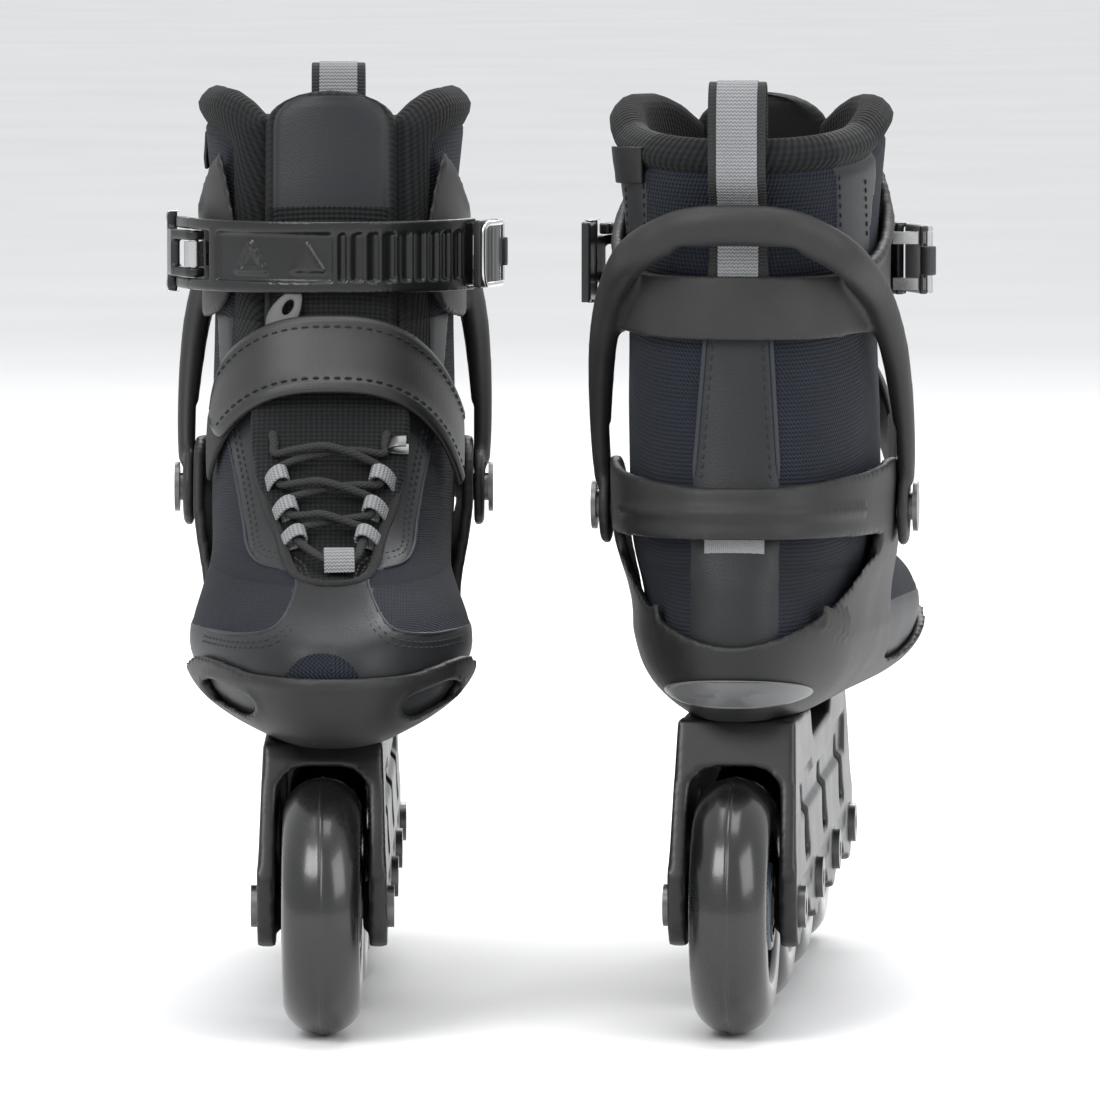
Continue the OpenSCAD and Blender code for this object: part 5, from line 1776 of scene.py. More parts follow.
@dataclass
class Trims:
    """Small sewn and moulded parts on the boot."""

    def piping(self) -> bpy.types.Object:
        """Thin cords along the overlay's edges and the heel panel."""
        lines = []
        for inner in (True, False):
            lines.append((Upper().overlay_line(inner, 0, 0.3)[:-2], 0.6))
        for side in (-1, 1):
            spine = []
            for i in range(40):
                z = mix(172, 262, i / 39)
                a, h = FORM.on_back(side * mix(13.5, 7, clamp((z - 165) / 95)), z)
                spine.append(FORM.point(a, h, 0.35))
            lines.append((spine, 0.8))
        made = [tube("piping", line, r, 8) for line, r in lines]
        return join(*made)

    def seams(self) -> bpy.types.Object:
        """The stitching inside the overlay's edges, beside the heel panel and along the throat."""
        made = []

        def away(p: Vector) -> Vector:
            """Outwards and up over the forefoot."""
            return Vector((p.x * 0.03, -0.45, 0.8)).normalized()

        for inner in (True, False):
            for inset in (2.3, 3.9):
                line = Upper().overlay_line(inner, inset, 0.55)
                made.append(stitches("seam", line[:-2], away, 1.9, 1.0, 0.27))
        for side in (-1, 1):
            line = []
            for i in range(50):
                z = mix(172, 258, i / 49)
                a, h = FORM.on_back(side * (heel_strip(z) - 2.4), z)
                line.append(FORM.point(a, h, 0.55))
            made.append(stitches("seam", line, lambda p: Vector((0, 1, 0)), 1.9, 1.0, 0.27))
            for offset in (-4.4, 2.4):
                flank = []
                for i in range(24):
                    z = mix(246, 266, i / 23)
                    a, h = FORM.on_back(side * (34.5 + offset), z)
                    flank.append(FORM.point(a, h, 0.6))
                made.append(stitches("seam", flank, lambda p: Vector((p.x * 0.02, 0.8, 0)).normalized(),
                                     1.9, 1.0, 0.27))
        return join(*made)

    def pull_tab(self) -> tuple[bpy.types.Object, bpy.types.Object]:
        """The webbing loop above the heel and the paler stripe down its middle."""
        low, high = box_mm("right_heel_tab")
        y_out, y_in, top = high.y, low.y, high.z
        spine = [Vector((0, FORM.back_y(z - FORM.sole_z - 7.6) + 0.75, z)) for z in (226, 236, 246, 256)]
        loop = [(y_out - 0.7, top - 29), (y_out - 0.4, top - 20), (y_out - 0.3, top - 10), (y_out - 1.6, top - 3.4),
                (y_out - 4.6, top - 0.7), (y_out - 7.8, top - 2.4), (y_in + 1.4, top - 9), (y_in + 1.0, top - 18),
                (y_in + 0.9, top - 26), (y_in + 0.9, top - 34)]
        path = smooth_line(spine + [Vector((0, y, z)) for y, z in loop], 6)
        ups = [Vector((1, 0, 0)).cross(heading(path, i))
               for i in range(len(path))]
        ups = [-u for u in ups] if ups[4].y < 0 else ups
        band = strip("tab", path, ups, 8.9, 1.1)
        raised = [p + u * 1.02 for p, u in zip(path, ups)]
        stripe = strip("stripe", raised[2:66], ups[2:66], 6.3, 0.5)
        return band, stripe

    def label(self) -> tuple[bpy.types.Object, bpy.types.Object]:
        """A blank sewn label on the collar and a blank tag above the heel window."""
        points, faces, n = [], [], 10
        for z_step in (0, 1):
            for i in range(n + 1):
                for j in range(n + 1):
                    a, h = FORM.on_back(-mix(29.5, 41.0, i / n), mix(262.5, 274, j / n))
                    points.append(FORM.point(a, h, 2.0 - 1.2 * z_step))
        w = n + 1
        for i in range(n):
            for j in range(n):
                faces += [[i * w + j, i * w + j + 1, (i + 1) * w + j + 1, (i + 1) * w + j]]
                under = w * w + i * w + j
                faces += [[under, under + w, under + w + 1, under + 1]]
        edge = ([i * w for i in range(w)] + [n * w + j for j in range(1, w)]
                + [i * w + n for i in range(n - 1, -1, -1)] + [j for j in range(n - 1, 0, -1)])
        faces += [[a, b, w * w + b, w * w + a] for a, b in zip(edge, edge[1:] + edge[:1])]
        label = soften(bevel(outwards(mesh_piece("label", points, faces)), 0.4, 2, 50), 50)
        tag = []
        for i in range(13):
            a, h = FORM.on_back(mix(-9, 9, i / 12), 151)
            tag.append(FORM.point(a, h, 0.3))
        ups = [Vector((0, 1, 0))] * len(tag)
        return label, strip("tag", tag, ups, 3.1, 0.7)

    def reflector(self) -> bpy.types.Object:
        """The oval reflector low on the heel, domed, with a rim."""
        low, high = box_mm("right_reflector")
        z, half_x, half_z = (low.z + high.z) / 2, (high.x - low.x) / 2, (high.z - low.z) / 2
        grow = Shell().gap + Shell().wall
        points, rings, count = [], 7, 64
        profile = [(1.0, 0.1), (1.0, 1.1), (0.95, 1.35), (0.9, 1.1), (0.86, 0.95), (0.6, 1.15), (0.25, 1.3)]
        for share, out in profile:
            for i in range(count):
                t = 2 * math.pi * i / count
                x = half_x * share * math.copysign(abs(math.cos(t)) ** 0.75, math.cos(t))
                dz = half_z * share * math.sin(t)
                a, h = FORM.on_back(x, z + dz)
                points.append(FORM.point(a, h, grow + out))
        faces = skin_faces(rings, count)
        faces += [[(rings - 1) * count + i for i in range(count)], list(reversed(range(count)))]
        return soften(outwards(mesh_piece("reflector", points, faces)), 30)

    def footbed(self) -> tuple[bpy.types.Object, bpy.types.Object]:
        """The dished footbed and the round heel cushion on it."""
        points, faces, rings, n = [], [], 12, 72
        low, high = box_mm("right_insole")
        base = low.z - FORM.sole_z - FORM.rise(FORM.front_y(5) + 6)
        for top in (1, 0):
            for k in range(rings):
                share = 1 - k / rings
                for i in range(n):
                    a = 360 * i / n
                    p = FORM.point(a, base + 1.2, -5.4)
                    centre = Vector((FORM.swing(p.y), clamp(p.y, -90, 85), p.z))
                    q = centre.lerp(p, share)
                    lift = (2.2 * share ** 4 + 2.6) if top else 0.0
                    points.append(Vector((q.x, q.y, FORM.sole_z + base + 0.2 + FORM.rise(q.y) + lift)))
        for layer in (0, 1):
            b = layer * rings * n
            for k in range(rings - 1):
                for i in range(n):
                    near, far, after = b + k * n, b + (k + 1) * n, (i + 1) % n
                    quad = [near + i, near + after, far + after, far + i]
                    faces.append(quad if layer == 0 else quad[::-1])
            faces.append([b + (rings - 1) * n + i for i in range(n)])
        faces += [[i, rings * n + i, rings * n + (i + 1) % n, (i + 1) % n] for i in range(n)]
        bed = soften(outwards(mesh_piece("footbed", points, faces)), 60)
        low, high = box_mm("right_heel_pad")
        r, t = (high.x - low.x) / 2 - 0.2, high.z - low.z
        centre = ((low.x + high.x) / 2, (low.y + high.y) / 2, low.z)
        profile = [(0.001, 0.05), (r - 0.8, 0.05), (r - 0.2, 0.5), (r, t * 0.45), (r - 0.7, t * 0.82),
                   (r - 2, t * 0.95), (r - 3.2, t * 0.72), (r - 5, t * 0.92), (r * 0.4, t * 0.99), (0.001, t)]
        pad = turned("heel_pad", [(p, a) for p, a in profile], centre, Axis.Z, 72)
        return bed, soften(outwards(pad), 60)


# ---------------------------------------------------------------- finishes

class Nodes:
    """A short way to write a material: nodes are made with their inputs."""

    def __init__(self, name: str) -> None:
        """Starts a material with its shader."""
        self.material = bpy.data.materials.new(name)
        self.material.use_nodes = True
        self.tree = self.material.node_tree
        self.shader = next(n for n in self.tree.nodes if n.type == "BSDF_PRINCIPLED")

    def add(self, kind: str, inputs: dict | None = None, **settings: object) -> bpy.types.Node:
        """Adds one node.

        Args:
            kind: Blender's node type.
            inputs: input name or number to a socket or a value.
            settings: the node's own settings.
        """
        made = self.tree.nodes.new(kind)
        for name, value in settings.items():
            setattr(made, name, value)
        for key, value in (inputs or {}).items():
            self.put(made.inputs[key], value)
        return made

    def put(self, socket: bpy.types.NodeSocket, value: object) -> None:
        """Links or sets one input."""
        if isinstance(value, bpy.types.NodeSocket):
            self.tree.links.new(value, socket)
        else:
            socket.default_value = value

    def math(self, operation: str, a: object, b: object = 0.0, clamped: bool = False) -> bpy.types.NodeSocket:
        """One sum on one or two values."""
        return self.add("ShaderNodeMath", {0: a, 1: b}, operation=operation, use_clamp=clamped).outputs[0]

    def ramp(self, value: object, low: float, high: float, to_low: float = 0.0, to_high: float = 1.0) -> object:
        """A value brought from one range to another, held within it."""
        made = self.add("ShaderNodeMapRange", {0: value, 1: low, 2: high, 3: to_low, 4: to_high})
        return made.outputs[0]

    def blend(self, share: object, a: object, b: object) -> bpy.types.NodeSocket:
        """A colour between two colours."""
        made = self.add("ShaderNodeMix", data_type="RGBA")
        self.put(made.inputs[0], share)
        self.put(made.inputs[6], a)
        self.put(made.inputs[7], b)
        return made.outputs[2]

    def noise(self, vector: object, scale: float, detail: float = 2.0, rough: float = 0.5) -> bpy.types.NodeSocket:
        """Noise from 0 to 1."""
        made = self.add("ShaderNodeTexNoise",
                        {"Vector": vector, "Scale": scale, "Detail": detail, "Roughness": rough})
        return made.outputs[0]

    def place(self) -> bpy.types.NodeSocket:
        """The place on the piece, in metres."""
        return self.add("ShaderNodeTexCoord").outputs["Object"]

    def sheet(self) -> tuple[bpy.types.NodeSocket, bpy.types.NodeSocket]:
        """The two coordinates of the piece's own UV map."""
        parts = self.add("ShaderNodeSeparateXYZ", {0: self.add("ShaderNodeUVMap", uv_map="weave").outputs[0]})
        return parts.outputs[0], parts.outputs[1]

    def value_of(self, attribute: str) -> bpy.types.NodeSocket:
        """A number stored on the piece."""
        return self.add("ShaderNodeAttribute", attribute_name=attribute).outputs["Fac"]

    def bump(self, height: object, depth: float, under: object = None) -> bpy.types.NodeSocket:
        """A bump of a depth in metres."""
        inputs = {"Height": height, "Distance": depth, "Strength": 1.0}
        made = self.add("ShaderNodeBump", inputs)
        if under is not None:
            self.put(made.inputs["Normal"], under)
        return made.outputs[0]

    def finish(self, colour: object, rough: object, normal: object = None, **constants: float) -> bpy.types.Material:
        """Joins colour, roughness and bump to the shader and sets its constant values."""
        self.put(self.shader.inputs["Base Color"], colour)
        self.put(self.shader.inputs["Roughness"], rough)
        if normal is not None:
            self.put(self.shader.inputs["Normal"], normal)
        for name, value in constants.items():
            self.shader.inputs[name.replace("_", " ")].default_value = value
        return self.material


def grey(value: float, blue: float = 1.0) -> tuple[float, float, float, float]:
    """A neutral colour, a little cooler where blue is above 1."""
    return (value, value * (0.5 + 0.5 * blue), value * blue, 1.0)


@dataclass(frozen=True)
class Moulded:
    """A moulded plastic: fine grain, uneven gloss, random paler patches, and a highlight painted along convex edges.
    """

    name: str
    colour: tuple
    # edge: the paler colour, used for random patches and for the highlight painted on convex edges
    edge: tuple
    rough: float = 0.45
    grain: float = 0.00004
    coat: float = 0.0

    def build(self) -> bpy.types.Material:
        """Writes the material."""
        n = Nodes(self.name)
        p = n.place()
        fine, patch = n.noise(p, 2600, 1), n.noise(p, 38, 4, 0.6)
        # painted highlight: convex edges, found by pointiness, are lightened towards the paler colour where they
        # would catch the light
        edge_highlight = n.ramp(n.add("ShaderNodeNewGeometry").outputs["Pointiness"], 0.53, 0.62, 0, 0.65)
        tone = n.blend(n.ramp(patch, 0.3, 0.75, 0, 0.35), self.colour, self.edge)
        tone = n.blend(edge_highlight, tone, self.edge)
        rough = n.math("ADD", n.ramp(patch, 0.2, 0.8, self.rough - 0.05, self.rough + 0.07),
                       n.math("MULTIPLY", fine, 0.04))
        n.shader.inputs["Specular IOR Level"].default_value = 0.36
        n.shader.inputs["Coat Weight"].default_value = self.coat
        n.shader.inputs["Coat Roughness"].default_value = 0.18
        return n.finish(tone, rough, n.bump(fine, self.grain))


@dataclass(frozen=True)
class Cast:
    """Cast urethane: glossy and deep, with faint flow marks and dust on the tread."""

    name: str
    colour: tuple
    dust: tuple

    def build(self) -> bpy.types.Material:
        """Writes the material."""
        n = Nodes(self.name)
        p = n.place()
        flow = n.noise(n.add("ShaderNodeMapping", {"Vector": p, "Scale": (1, 0.35, 0.35)}).outputs[0], 60, 3)
        speck = n.noise(p, 900, 2)
        mark = n.math("MULTIPLY", n.ramp(flow, 0.52, 0.8, 0, 0.30), n.ramp(speck, 0.45, 0.62))
        rough = n.math("ADD", n.ramp(flow, 0.3, 0.7, 0.20, 0.30), n.math("MULTIPLY", mark, 0.3))
        n.shader.inputs["Coat Weight"].default_value = 0.35
        n.shader.inputs["Coat Roughness"].default_value = 0.12
        return n.finish(n.blend(mark, self.colour, self.dust), rough, n.bump(speck, 0.00002))


@dataclass(frozen=True)
class Steel:
    """Plated steel with fine scratches."""

    name: str
    colour: tuple
    rough: float

    def build(self) -> bpy.types.Material:
        """Writes the material."""
        n = Nodes(self.name)
        p = n.place()
        brushed = n.noise(n.add("ShaderNodeMapping", {"Vector": p, "Scale": (1, 1, 9)}).outputs[0], 700, 2)
        haze = n.noise(p, 120, 3)
        rough = n.math("ADD", n.ramp(brushed, 0.3, 0.7, self.rough - 0.05, self.rough + 0.06),
                       n.ramp(haze, 0.5, 0.8, 0, 0.1))
        tone = n.blend(n.ramp(haze, 0.4, 0.8, 0, 0.3), self.colour, grey(0.3))
        return n.finish(tone, rough, n.bump(brushed, 0.00001), Metallic=1.0)


@dataclass(frozen=True)
class Textile:
    """The upper's cloths in one: spacer mesh, smooth overlays, ribbed knit at the rims, and lining."""

    name: str
    mesh_dark: tuple
    mesh_light: tuple
    overlay: tuple
    knit: tuple
    pitch: float = 0.00125

    def build(self) -> bpy.types.Material:
        """Writes the material."""
        n = Nodes(self.name)
        p = n.place()
        u, v = n.sheet()
        wobble = n.math("MULTIPLY", n.noise(p, 260, 2), 1.5)
        turn = 2 * math.pi / self.pitch
        slant = n.math("SINE", n.math("ADD", n.math("MULTIPLY", n.math("ADD", u, v), turn * 0.72), wobble))
        cross = n.math("SINE", n.math("ADD", n.math("MULTIPLY", n.math("SUBTRACT", u, v), turn * 0.72), wobble))
        weave = n.math("MULTIPLY", n.math("ADD", n.math("MULTIPLY", slant, cross), 1.0), 0.5)
        rib = n.math("MULTIPLY", n.math("ADD", n.math("SINE", n.math("MULTIPLY", u, turn * 0.8)), 1.0), 0.5)
        loops = n.math("MULTIPLY", n.math("ADD", n.math("SINE", n.math("MULTIPLY", v, turn * 1.1)), 1.0), 0.5)
        knit_height = n.math("ADD", n.math("MULTIPLY", rib, 0.7), n.math("MULTIPLY", loops, 0.3))
        leather = n.add("ShaderNodeTexVoronoi", {"Vector": p, "Scale": 1500.0}).outputs["Distance"]
        mottle, fuzz = n.noise(p, 45, 3), n.noise(p, 1700, 2)
        is_smooth = n.ramp(n.value_of("smooth"), -0.15, 0.15)
        is_knit = n.ramp(n.value_of("knit"), -0.2, 0.2)
        is_lining = n.value_of("lining")
        cloth = n.blend(n.ramp(weave, 0.25, 0.8), self.mesh_dark, self.mesh_light)
        cloth = n.blend(n.ramp(mottle, 0.35, 0.7, 0, 0.35), cloth, self.mesh_dark)
        smooth = n.blend(n.ramp(mottle, 0.3, 0.75, 0, 0.4), self.overlay, grey(0.020, 1.05))
        knit = n.blend(knit_height, self.knit, grey(0.012, 1.1))
        tone = n.blend(is_knit, n.blend(is_smooth, cloth, smooth), knit)
        tone = n.blend(n.math("MULTIPLY", is_lining, 0.8), tone, n.blend(fuzz, self.knit, grey(0.009)))
        plain = n.math("MAXIMUM", is_knit, is_lining)
        rough = n.math("ADD", n.ramp(is_smooth, 0, 1, 0.86, 0.47), n.math("MULTIPLY", plain, 0.35), True)
        height = n.add("ShaderNodeMix", {0: is_smooth}, data_type="FLOAT")
        n.put(height.inputs[2], n.math("ADD", weave, n.math("MULTIPLY", fuzz, 0.4)))
        n.put(height.inputs[3], n.math("ADD", n.math("MULTIPLY", leather, 0.12), 0.9))
        top = n.add("ShaderNodeMix", {0: is_knit}, data_type="FLOAT")
        n.put(top.inputs[2], height.outputs[0])
        n.put(top.inputs[3], n.math("ADD", knit_height, n.math("MULTIPLY", fuzz, 0.3)))
        n.shader.inputs["Specular IOR Level"].default_value = 0.3
        n.shader.inputs["Sheen Weight"].default_value = 0.015
        n.shader.inputs["Sheen Roughness"].default_value = 0.5
        return n.finish(tone, rough, n.bump(top.outputs[0], 0.00042))


@dataclass(frozen=True)
class Webbing:
    """Woven tape or satin: ribs across the piece's UV map, with loose fibres."""

    name: str
    dark: tuple
    light: tuple
    pitch: float = 0.0011
    rough: float = 0.7
    depth: float = 0.00022
    sheen: float = 0.02

    def build(self) -> bpy.types.Material:
        """Writes the material."""
        n = Nodes(self.name)
        p = n.place()
        u, v = n.sheet()
        turn = 2 * math.pi / self.pitch
        a = n.math("SINE", n.math("MULTIPLY", u, turn))
        b = n.math("SINE", n.math("ADD", n.math("MULTIPLY", v, turn), n.math("MULTIPLY", a, 1.2)))
        weave = n.math("MULTIPLY", n.math("ADD", b, 1.0), 0.5)
        fuzz, mottle = n.noise(p, 2200, 2), n.noise(p, 70, 3)
        tone = n.blend(n.math("MULTIPLY", weave, n.ramp(mottle, 0.2, 0.8, 0.55, 1.0)), self.dark, self.light)
        n.shader.inputs["Sheen Weight"].default_value = self.sheen
        rough = n.math("ADD", n.math("MULTIPLY", fuzz, 0.12), self.rough - 0.06)
        return n.finish(tone, rough, n.bump(n.math("ADD", weave, n.math("MULTIPLY", fuzz, 0.5)), self.depth))


@dataclass(frozen=True)
class Braid:
    """A braided lace: two families of threads that cross at a slant."""

    name: str
    dark: tuple
    light: tuple

    def build(self) -> bpy.types.Material:
        """Writes the material."""
        n = Nodes(self.name)
        u, v = n.sheet()
        around, along = n.math("MULTIPLY", u, 2 * math.pi * 6), n.math("MULTIPLY", v, 2 * math.pi / 0.0021)
        a = n.math("SINE", n.math("ADD", around, along))
        b = n.math("SINE", n.math("SUBTRACT", around, along))
        braid = n.math("MULTIPLY", n.math("ADD", n.math("MAXIMUM", a, b), 1.0), 0.5)
        fuzz = n.noise(n.place(), 3000, 2)
        n.shader.inputs["Sheen Weight"].default_value = 0.02
        return n.finish(n.blend(n.math("MULTIPLY", braid, fuzz), self.dark, self.light),
                        n.math("ADD", n.math("MULTIPLY", fuzz, 0.15), 0.68),
                        n.bump(n.math("ADD", braid, n.math("MULTIPLY", fuzz, 0.4)), 0.00025))


@dataclass(frozen=True)
class Felted:
    """Felt, hook-and-loop pile or foam lining: many short fibres."""

    name: str
    dark: tuple
    light: tuple
    scale: float = 1500.0
    depth: float = 0.0004

    def build(self) -> bpy.types.Material:
        """Writes the material."""
        n = Nodes(self.name)
        p = n.place()
        fibre, patch = n.noise(p, self.scale, 3, 0.7), n.noise(p, 60, 3)
        share = n.math("MULTIPLY", n.ramp(fibre, 0.35, 0.65), n.ramp(patch, 0.2, 0.8, 0.6, 1.0))
        n.shader.inputs["Sheen Weight"].default_value = 0.03
        return n.finish(n.blend(share, self.dark, self.light), n.ramp(fibre, 0, 1, 0.8, 0.98),
                        n.bump(fibre, self.depth))


FINISHES = {
    "frame": Moulded("satin_frame", grey(0.006, 1.05), grey(0.028, 1.05), 0.36, 0.00003, 0.1),
    "shell": Moulded("grained_shell", grey(0.0085, 1.02), grey(0.030, 1.0), 0.50, 0.00006),
    "cuff": Moulded("grained_cuff", grey(0.0125, 0.99), grey(0.038, 1.0), 0.50, 0.00006),
    "tab": Moulded("eyelet_plastic", grey(0.06, 1.02), grey(0.12, 1.0), 0.45, 0.00004),
    "buckle": Moulded("glossy_buckle", grey(0.0045, 1.1), grey(0.020, 1.1), 0.30, 0.00002, 0.2),
    "latch": Moulded("grey_latch", grey(0.020, 1.05), grey(0.06, 1.05), 0.36, 0.00003, 0.15),
    "hub": Moulded("blue_grey_hub", (0.055, 0.072, 0.095, 1), (0.12, 0.145, 0.18, 1), 0.35, 0.00002, 0.2),
    "reflector": Moulded("reflector_grey", grey(0.085, 1.03), grey(0.15, 1.02), 0.34, 0.00002, 0.3),
    "tyre": Cast("dark_urethane", grey(0.006, 1.06), grey(0.04, 0.98)),
    "steel": Steel("dark_steel", grey(0.13), 0.34),
    "chrome": Steel("bright_steel", grey(0.55), 0.18),
    "upper": Textile("upper_cloth", (0.0016, 0.0024, 0.0048, 1), (0.0135, 0.0185, 0.031, 1),
                     (0.0105, 0.0115, 0.013, 1), (0.0022, 0.0024, 0.0030, 1), 0.0019),
    "tongue": Textile("tongue_cloth", grey(0.0016, 1.2), grey(0.011, 1.2), (0.0100, 0.0118, 0.0145, 1),
                      (0.0022, 0.0024, 0.0030, 1), 0.0024),
    "strap": Webbing("satin_strap", grey(0.0095, 1.03), grey(0.018, 1.03), 0.0007, 0.38, 0.00004, 0.01),
    "tape": Webbing("grey_tape", grey(0.13, 1.06), grey(0.30, 1.06), 0.0011, 0.72),
    "black_tape": Webbing("black_tape", grey(0.003, 1.1), grey(0.011, 1.1), 0.0011, 0.7),
    "tag": Webbing("blank_tag", grey(0.16, 1.05), grey(0.26, 1.05), 0.0006, 0.6, 0.0001),
    "label": Moulded("rubber_label", grey(0.004, 1.1), grey(0.012, 1.1), 0.5, 0.00005),
    "piping": Moulded("blue_grey_piping", (0.008, 0.010, 0.014, 1), (0.03, 0.035, 0.045, 1), 0.5, 0.00004),
    "thread": Felted("sewing_thread", grey(0.006, 1.1), grey(0.03, 1.1), 2600, 0.0001),
    "lace": Braid("black_lace", grey(0.003, 1.1), grey(0.016, 1.1)),
    "pile": Felted("loop_pile", grey(0.003, 1.0), grey(0.016, 1.0), 1300, 0.0006),
    "footbed": Felted("footbed_felt", grey(0.014, 1.05), grey(0.045, 1.05)),
    "gel": Moulded("heel_gel", grey(0.05, 1.25), grey(0.12, 1.2), 0.4, 0.00005, 0.2),
}
MADE: dict[str, bpy.types.Material] = {}


def dress(obj: bpy.types.Object, finish: str) -> bpy.types.Object:
    """Gives a piece one finish all over."""
    if finish not in MADE:
        MADE[finish] = FINISHES[finish].build()
    obj.data.materials.clear()
    obj.data.materials.append(MADE[finish])
    return obj


# ---------------------------------------------------------------- the pair

@dataclass(frozen=True)
class Part:
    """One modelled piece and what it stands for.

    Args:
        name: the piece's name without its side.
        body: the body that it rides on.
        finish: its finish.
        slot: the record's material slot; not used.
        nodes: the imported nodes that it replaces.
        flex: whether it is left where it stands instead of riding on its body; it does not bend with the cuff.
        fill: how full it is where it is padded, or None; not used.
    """

    name: str
    body: str
    finish: str
    slot: str
    nodes: tuple = ()
    flex: bool = False
    fill: float | None = None


class Skates:
    """Both skates: each piece is modelled once and set down twice."""

    def __init__(self) -> None:
        """Reads the two placements."""
        self.places = [Placement.of(side) for side in Side]

    def put(self, piece: bpy.types.Object, part: Part) -> None:
        """Dresses a piece, sets it down on both skates and ties it to its body, except a flex piece, which is left in
        place.
        """
        dress(piece, part.finish)
        for place in self.places:
            side = place.side.value
            done = place.apply(piece, part.name)
            if part.nodes:
                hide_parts(*[f"{side}_{node}" for node in part.nodes])
            if part.flex:
                tuple(place.point(BEND[0]))
                tuple(place.point(BEND[1]))
                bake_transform(done)
            else:
                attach(done, f"{side}_{part.body}")
        count = len(piece.data.polygons)
        bpy.data.objects.remove(piece, do_unlink=True)
        LOG.info("%s: %d faces", part.name, count)

    def build(self) -> None:
        """Makes every piece."""
        Wheels.of_frame().build(self.places)
        self.put(Frame().build(), Part("frame_moulding", "skate", "frame", "frame_plastic", ("frame",)))
        self.put(Shell().build(), Part("shell_moulding", "skate", "shell", "shell_plastic", ("shell",)))
        self.put(Cuff().build(), Part("cuff_moulding", "cuff", "cuff", "shell_plastic", ("cuff",)))
        self.buckle()
        self.soft()
        self.carried()

    def buckle(self) -> None:
        """The ratchet buckle's pieces."""
        buckle = Buckle()
        self.put(buckle.strap(), Part("ratchet_strap", "strap", "buckle", "buckle_plastic", ("ladder_strap",)))
        self.put(buckle.lever(), Part("closing_lever", "lever", "buckle", "buckle_plastic", ("buckle_lever",)))
        self.put(buckle.bracket(), Part("lever_bracket", "lever", "chrome", "steel"))
        self.put(buckle.catch(), Part("latch", "catch", "latch", "buckle_plastic", ("strap_catch",)))
        self.put(buckle.wire(), Part("latch_wire", "catch", "chrome", "steel"))

    def soft(self) -> None:
        """The textile pieces."""
        self.put(Upper().build(), Part("upper", "skate", "upper", "boot_textile", ("boot", "collar"), True, 0.6))
        self.put(Tongue().build(), Part("padded_tongue", "skate", "tongue", "smooth_synthetic",
                                        ("tongue", "tongue_base"), True, 0.7))
        trims = Trims()
        self.put(trims.piping(), Part("piping", "skate", "piping", "smooth_synthetic", (), True))
        self.put(trims.seams(), Part("seams", "skate", "thread", "boot_textile", (), True))
        band, stripe = trims.pull_tab()
        self.put(band, Part("pull_tab", "cuff", "black_tape", "loop_webbing", ("heel_tab",)))
        self.put(stripe, Part("pull_tab_stripe", "cuff", "tape", "loop_webbing"))
        label, tag = trims.label()
        self.put(label, Part("blank_label", "cuff", "label", "smooth_synthetic"))
        self.put(tag, Part("blank_tag", "skate", "tag", "loop_webbing"))
        self.put(trims.reflector(), Part("heel_reflector", "skate", "reflector", "reflector", ("reflector",)))
        bed, pad = trims.footbed()
        self.put(bed, Part("footbed", "skate", "footbed", "footbed", ("insole",)))
        self.put(pad, Part("heel_cushion", "skate", "gel", "footbed", ("heel_pad",), False, 0.5))
        laces = Laces()
        self.put(join(*laces.runs()), Part("lace", "skate", "lace", "lace", ("laces",)))
        self.put(laces.loops(), Part("lace_webbing", "skate", "tape", "loop_webbing", ("lace_loops",)))
        self.put(laces.throat_roll(), Part("throat_roll", "skate", "black_tape", "boot_textile"))
        self.put(laces.hook(), Part("lace_hook", "skate", "steel", "steel"))
        self.put(laces.tab(), Part("eyelet_tab", "cuff", "tab", "smooth_synthetic"))
        top, base, seams = InstepStrap().build()
        self.put(top, Part("instep_band", "skate", "strap", "strap_webbing", ("instep_strap",)))
        self.put(base, Part("instep_base", "skate", "pile", "strap_webbing"))
        self.put(seams, Part("instep_seams", "skate", "thread", "strap_webbing"))

    def carried(self) -> None:
        """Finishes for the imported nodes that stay."""
        kept = {"axles": "steel", "bearings": "steel", "frame_bolts": "steel", "hinge_rivets": "steel",
                "buckle_mounts": "chrome"}
        for side in Side:
            for node, finish in kept.items():
                for obj in bpy.data.objects:
                    if obj.type == "MESH" and obj.name.startswith(f"{side.value}_{node}") and obj.data.materials:
                        if finish not in MADE:
                            MADE[finish] = FINISHES[finish].build()
                        for slot in obj.material_slots:
                            slot.material = MADE[finish]


# ---------------------------------------------------------------- stage, light and camera

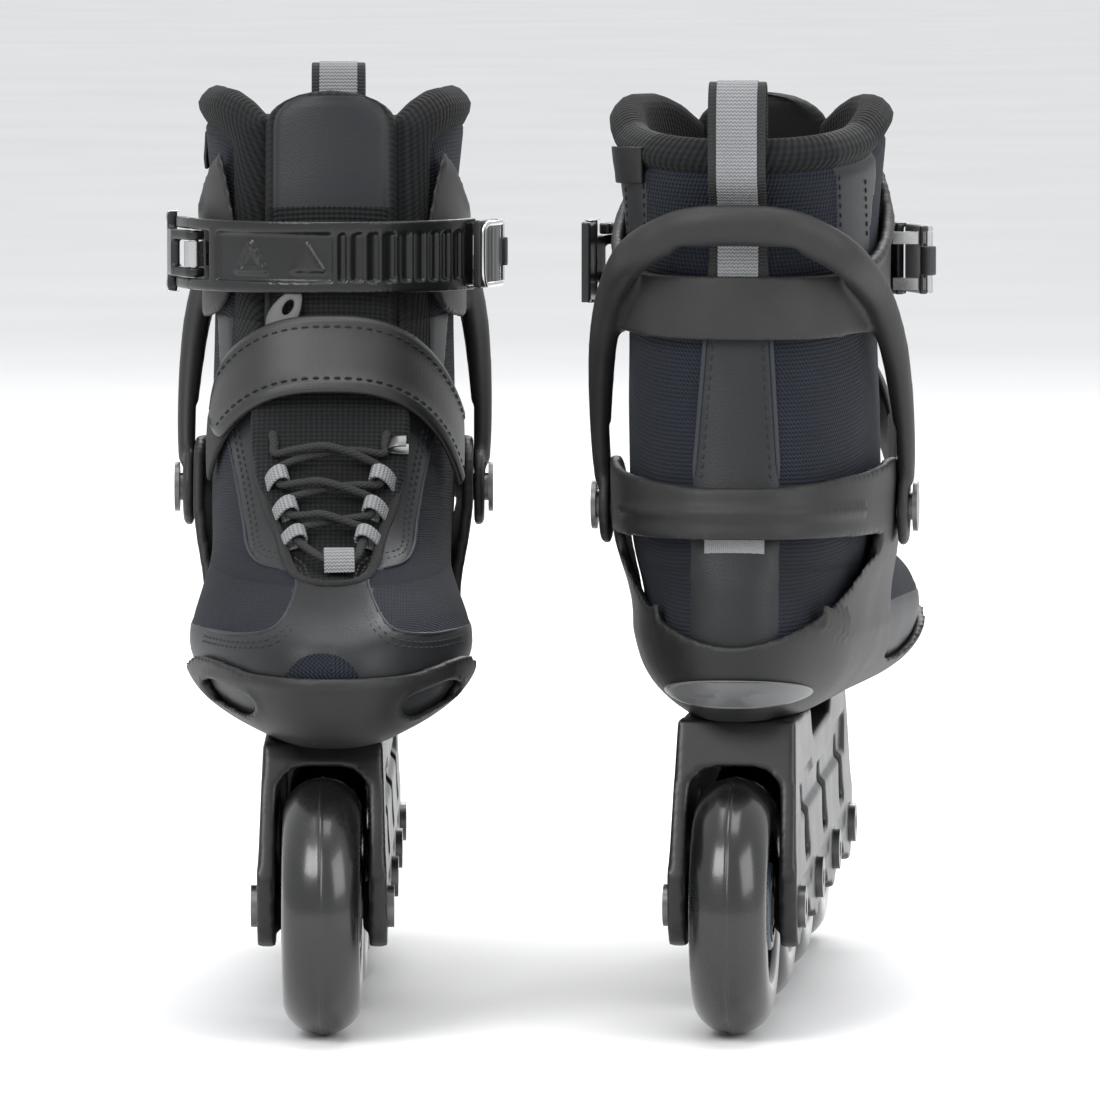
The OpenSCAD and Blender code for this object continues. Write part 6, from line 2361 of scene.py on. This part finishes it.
@dataclass
class Studio:
    """A pale floor, soft studio light and the camera."""

    floor_size: float = 60.0
    eye: tuple = (0.0007, -2.962, 0.3739)
    aim: tuple = (0.0007, -0.162, 0.1535)
    lens: float = 302.8
    sky: tuple = (0.93, 0.94, 0.96, 1)
    sky_strength: float = 0.95
    lamps: tuple = (("key", (-1.3, -1.9, 2.1), 1.3, 46), ("fill", (1.9, -1.4, 1.3), 1.5, 26),
                    ("back", (0.4, 2.1, 1.9), 1.4, 40), ("top", (0, 0, 2.6), 1.6, 30))

    def floor(self) -> None:
        """The pale floor."""
        n = Nodes("studio_floor")
        tone = n.blend(n.ramp(n.noise(n.place(), 3, 2), 0.3, 0.7), grey(0.80), grey(0.84))
        n.finish(tone, 0.65)
        deselect()
        bpy.ops.mesh.primitive_circle_add(vertices=96, radius=self.floor_size / 2, fill_type="NGON")
        floor = settle(bpy.context.object)
        floor.name = "floor"
        floor.data.materials.append(n.material)

    def light(self, name: str, place: tuple, size: float, power: float) -> None:
        """One soft square light aimed at the skates."""
        data = bpy.data.lights.new(name, "AREA")
        data.size, data.energy = size, power
        lamp = bpy.data.objects.new(name, data)
        lamp.location = place
        lamp.rotation_euler = (Vector((0, 0, 0.15)) - Vector(place)).to_track_quat("-Z", "Y").to_euler()
        bpy.context.collection.objects.link(lamp)

    def build(self) -> None:
        """Sets up the floor, the lights, the sky and the camera."""
        self.floor()
        bpy.context.scene.view_settings.view_transform = "Standard"
        for lamp in self.lamps:
            self.light(*lamp)
        world = bpy.data.worlds.new("studio")
        bpy.context.scene.world = world
        world.use_nodes = True
        back = next(n for n in world.node_tree.nodes if n.type == "BACKGROUND")
        back.inputs[0].default_value = self.sky
        back.inputs[1].default_value = self.sky_strength
        data = bpy.data.cameras.new("camera")
        data.lens, data.sensor_width, data.clip_end = self.lens, 36.0, 200.0
        camera = bpy.data.objects.new("camera", data)
        camera.location = self.eye
        camera.rotation_euler = (Vector(self.aim) - Vector(self.eye)).to_track_quat("-Z", "Y").to_euler()
        bpy.context.collection.objects.link(camera)
        bpy.context.scene.camera = camera


def main() -> None:
    random.seed(7)
    Studio().build()
    Skates().build()


if __name__ == "__main__":
    main()
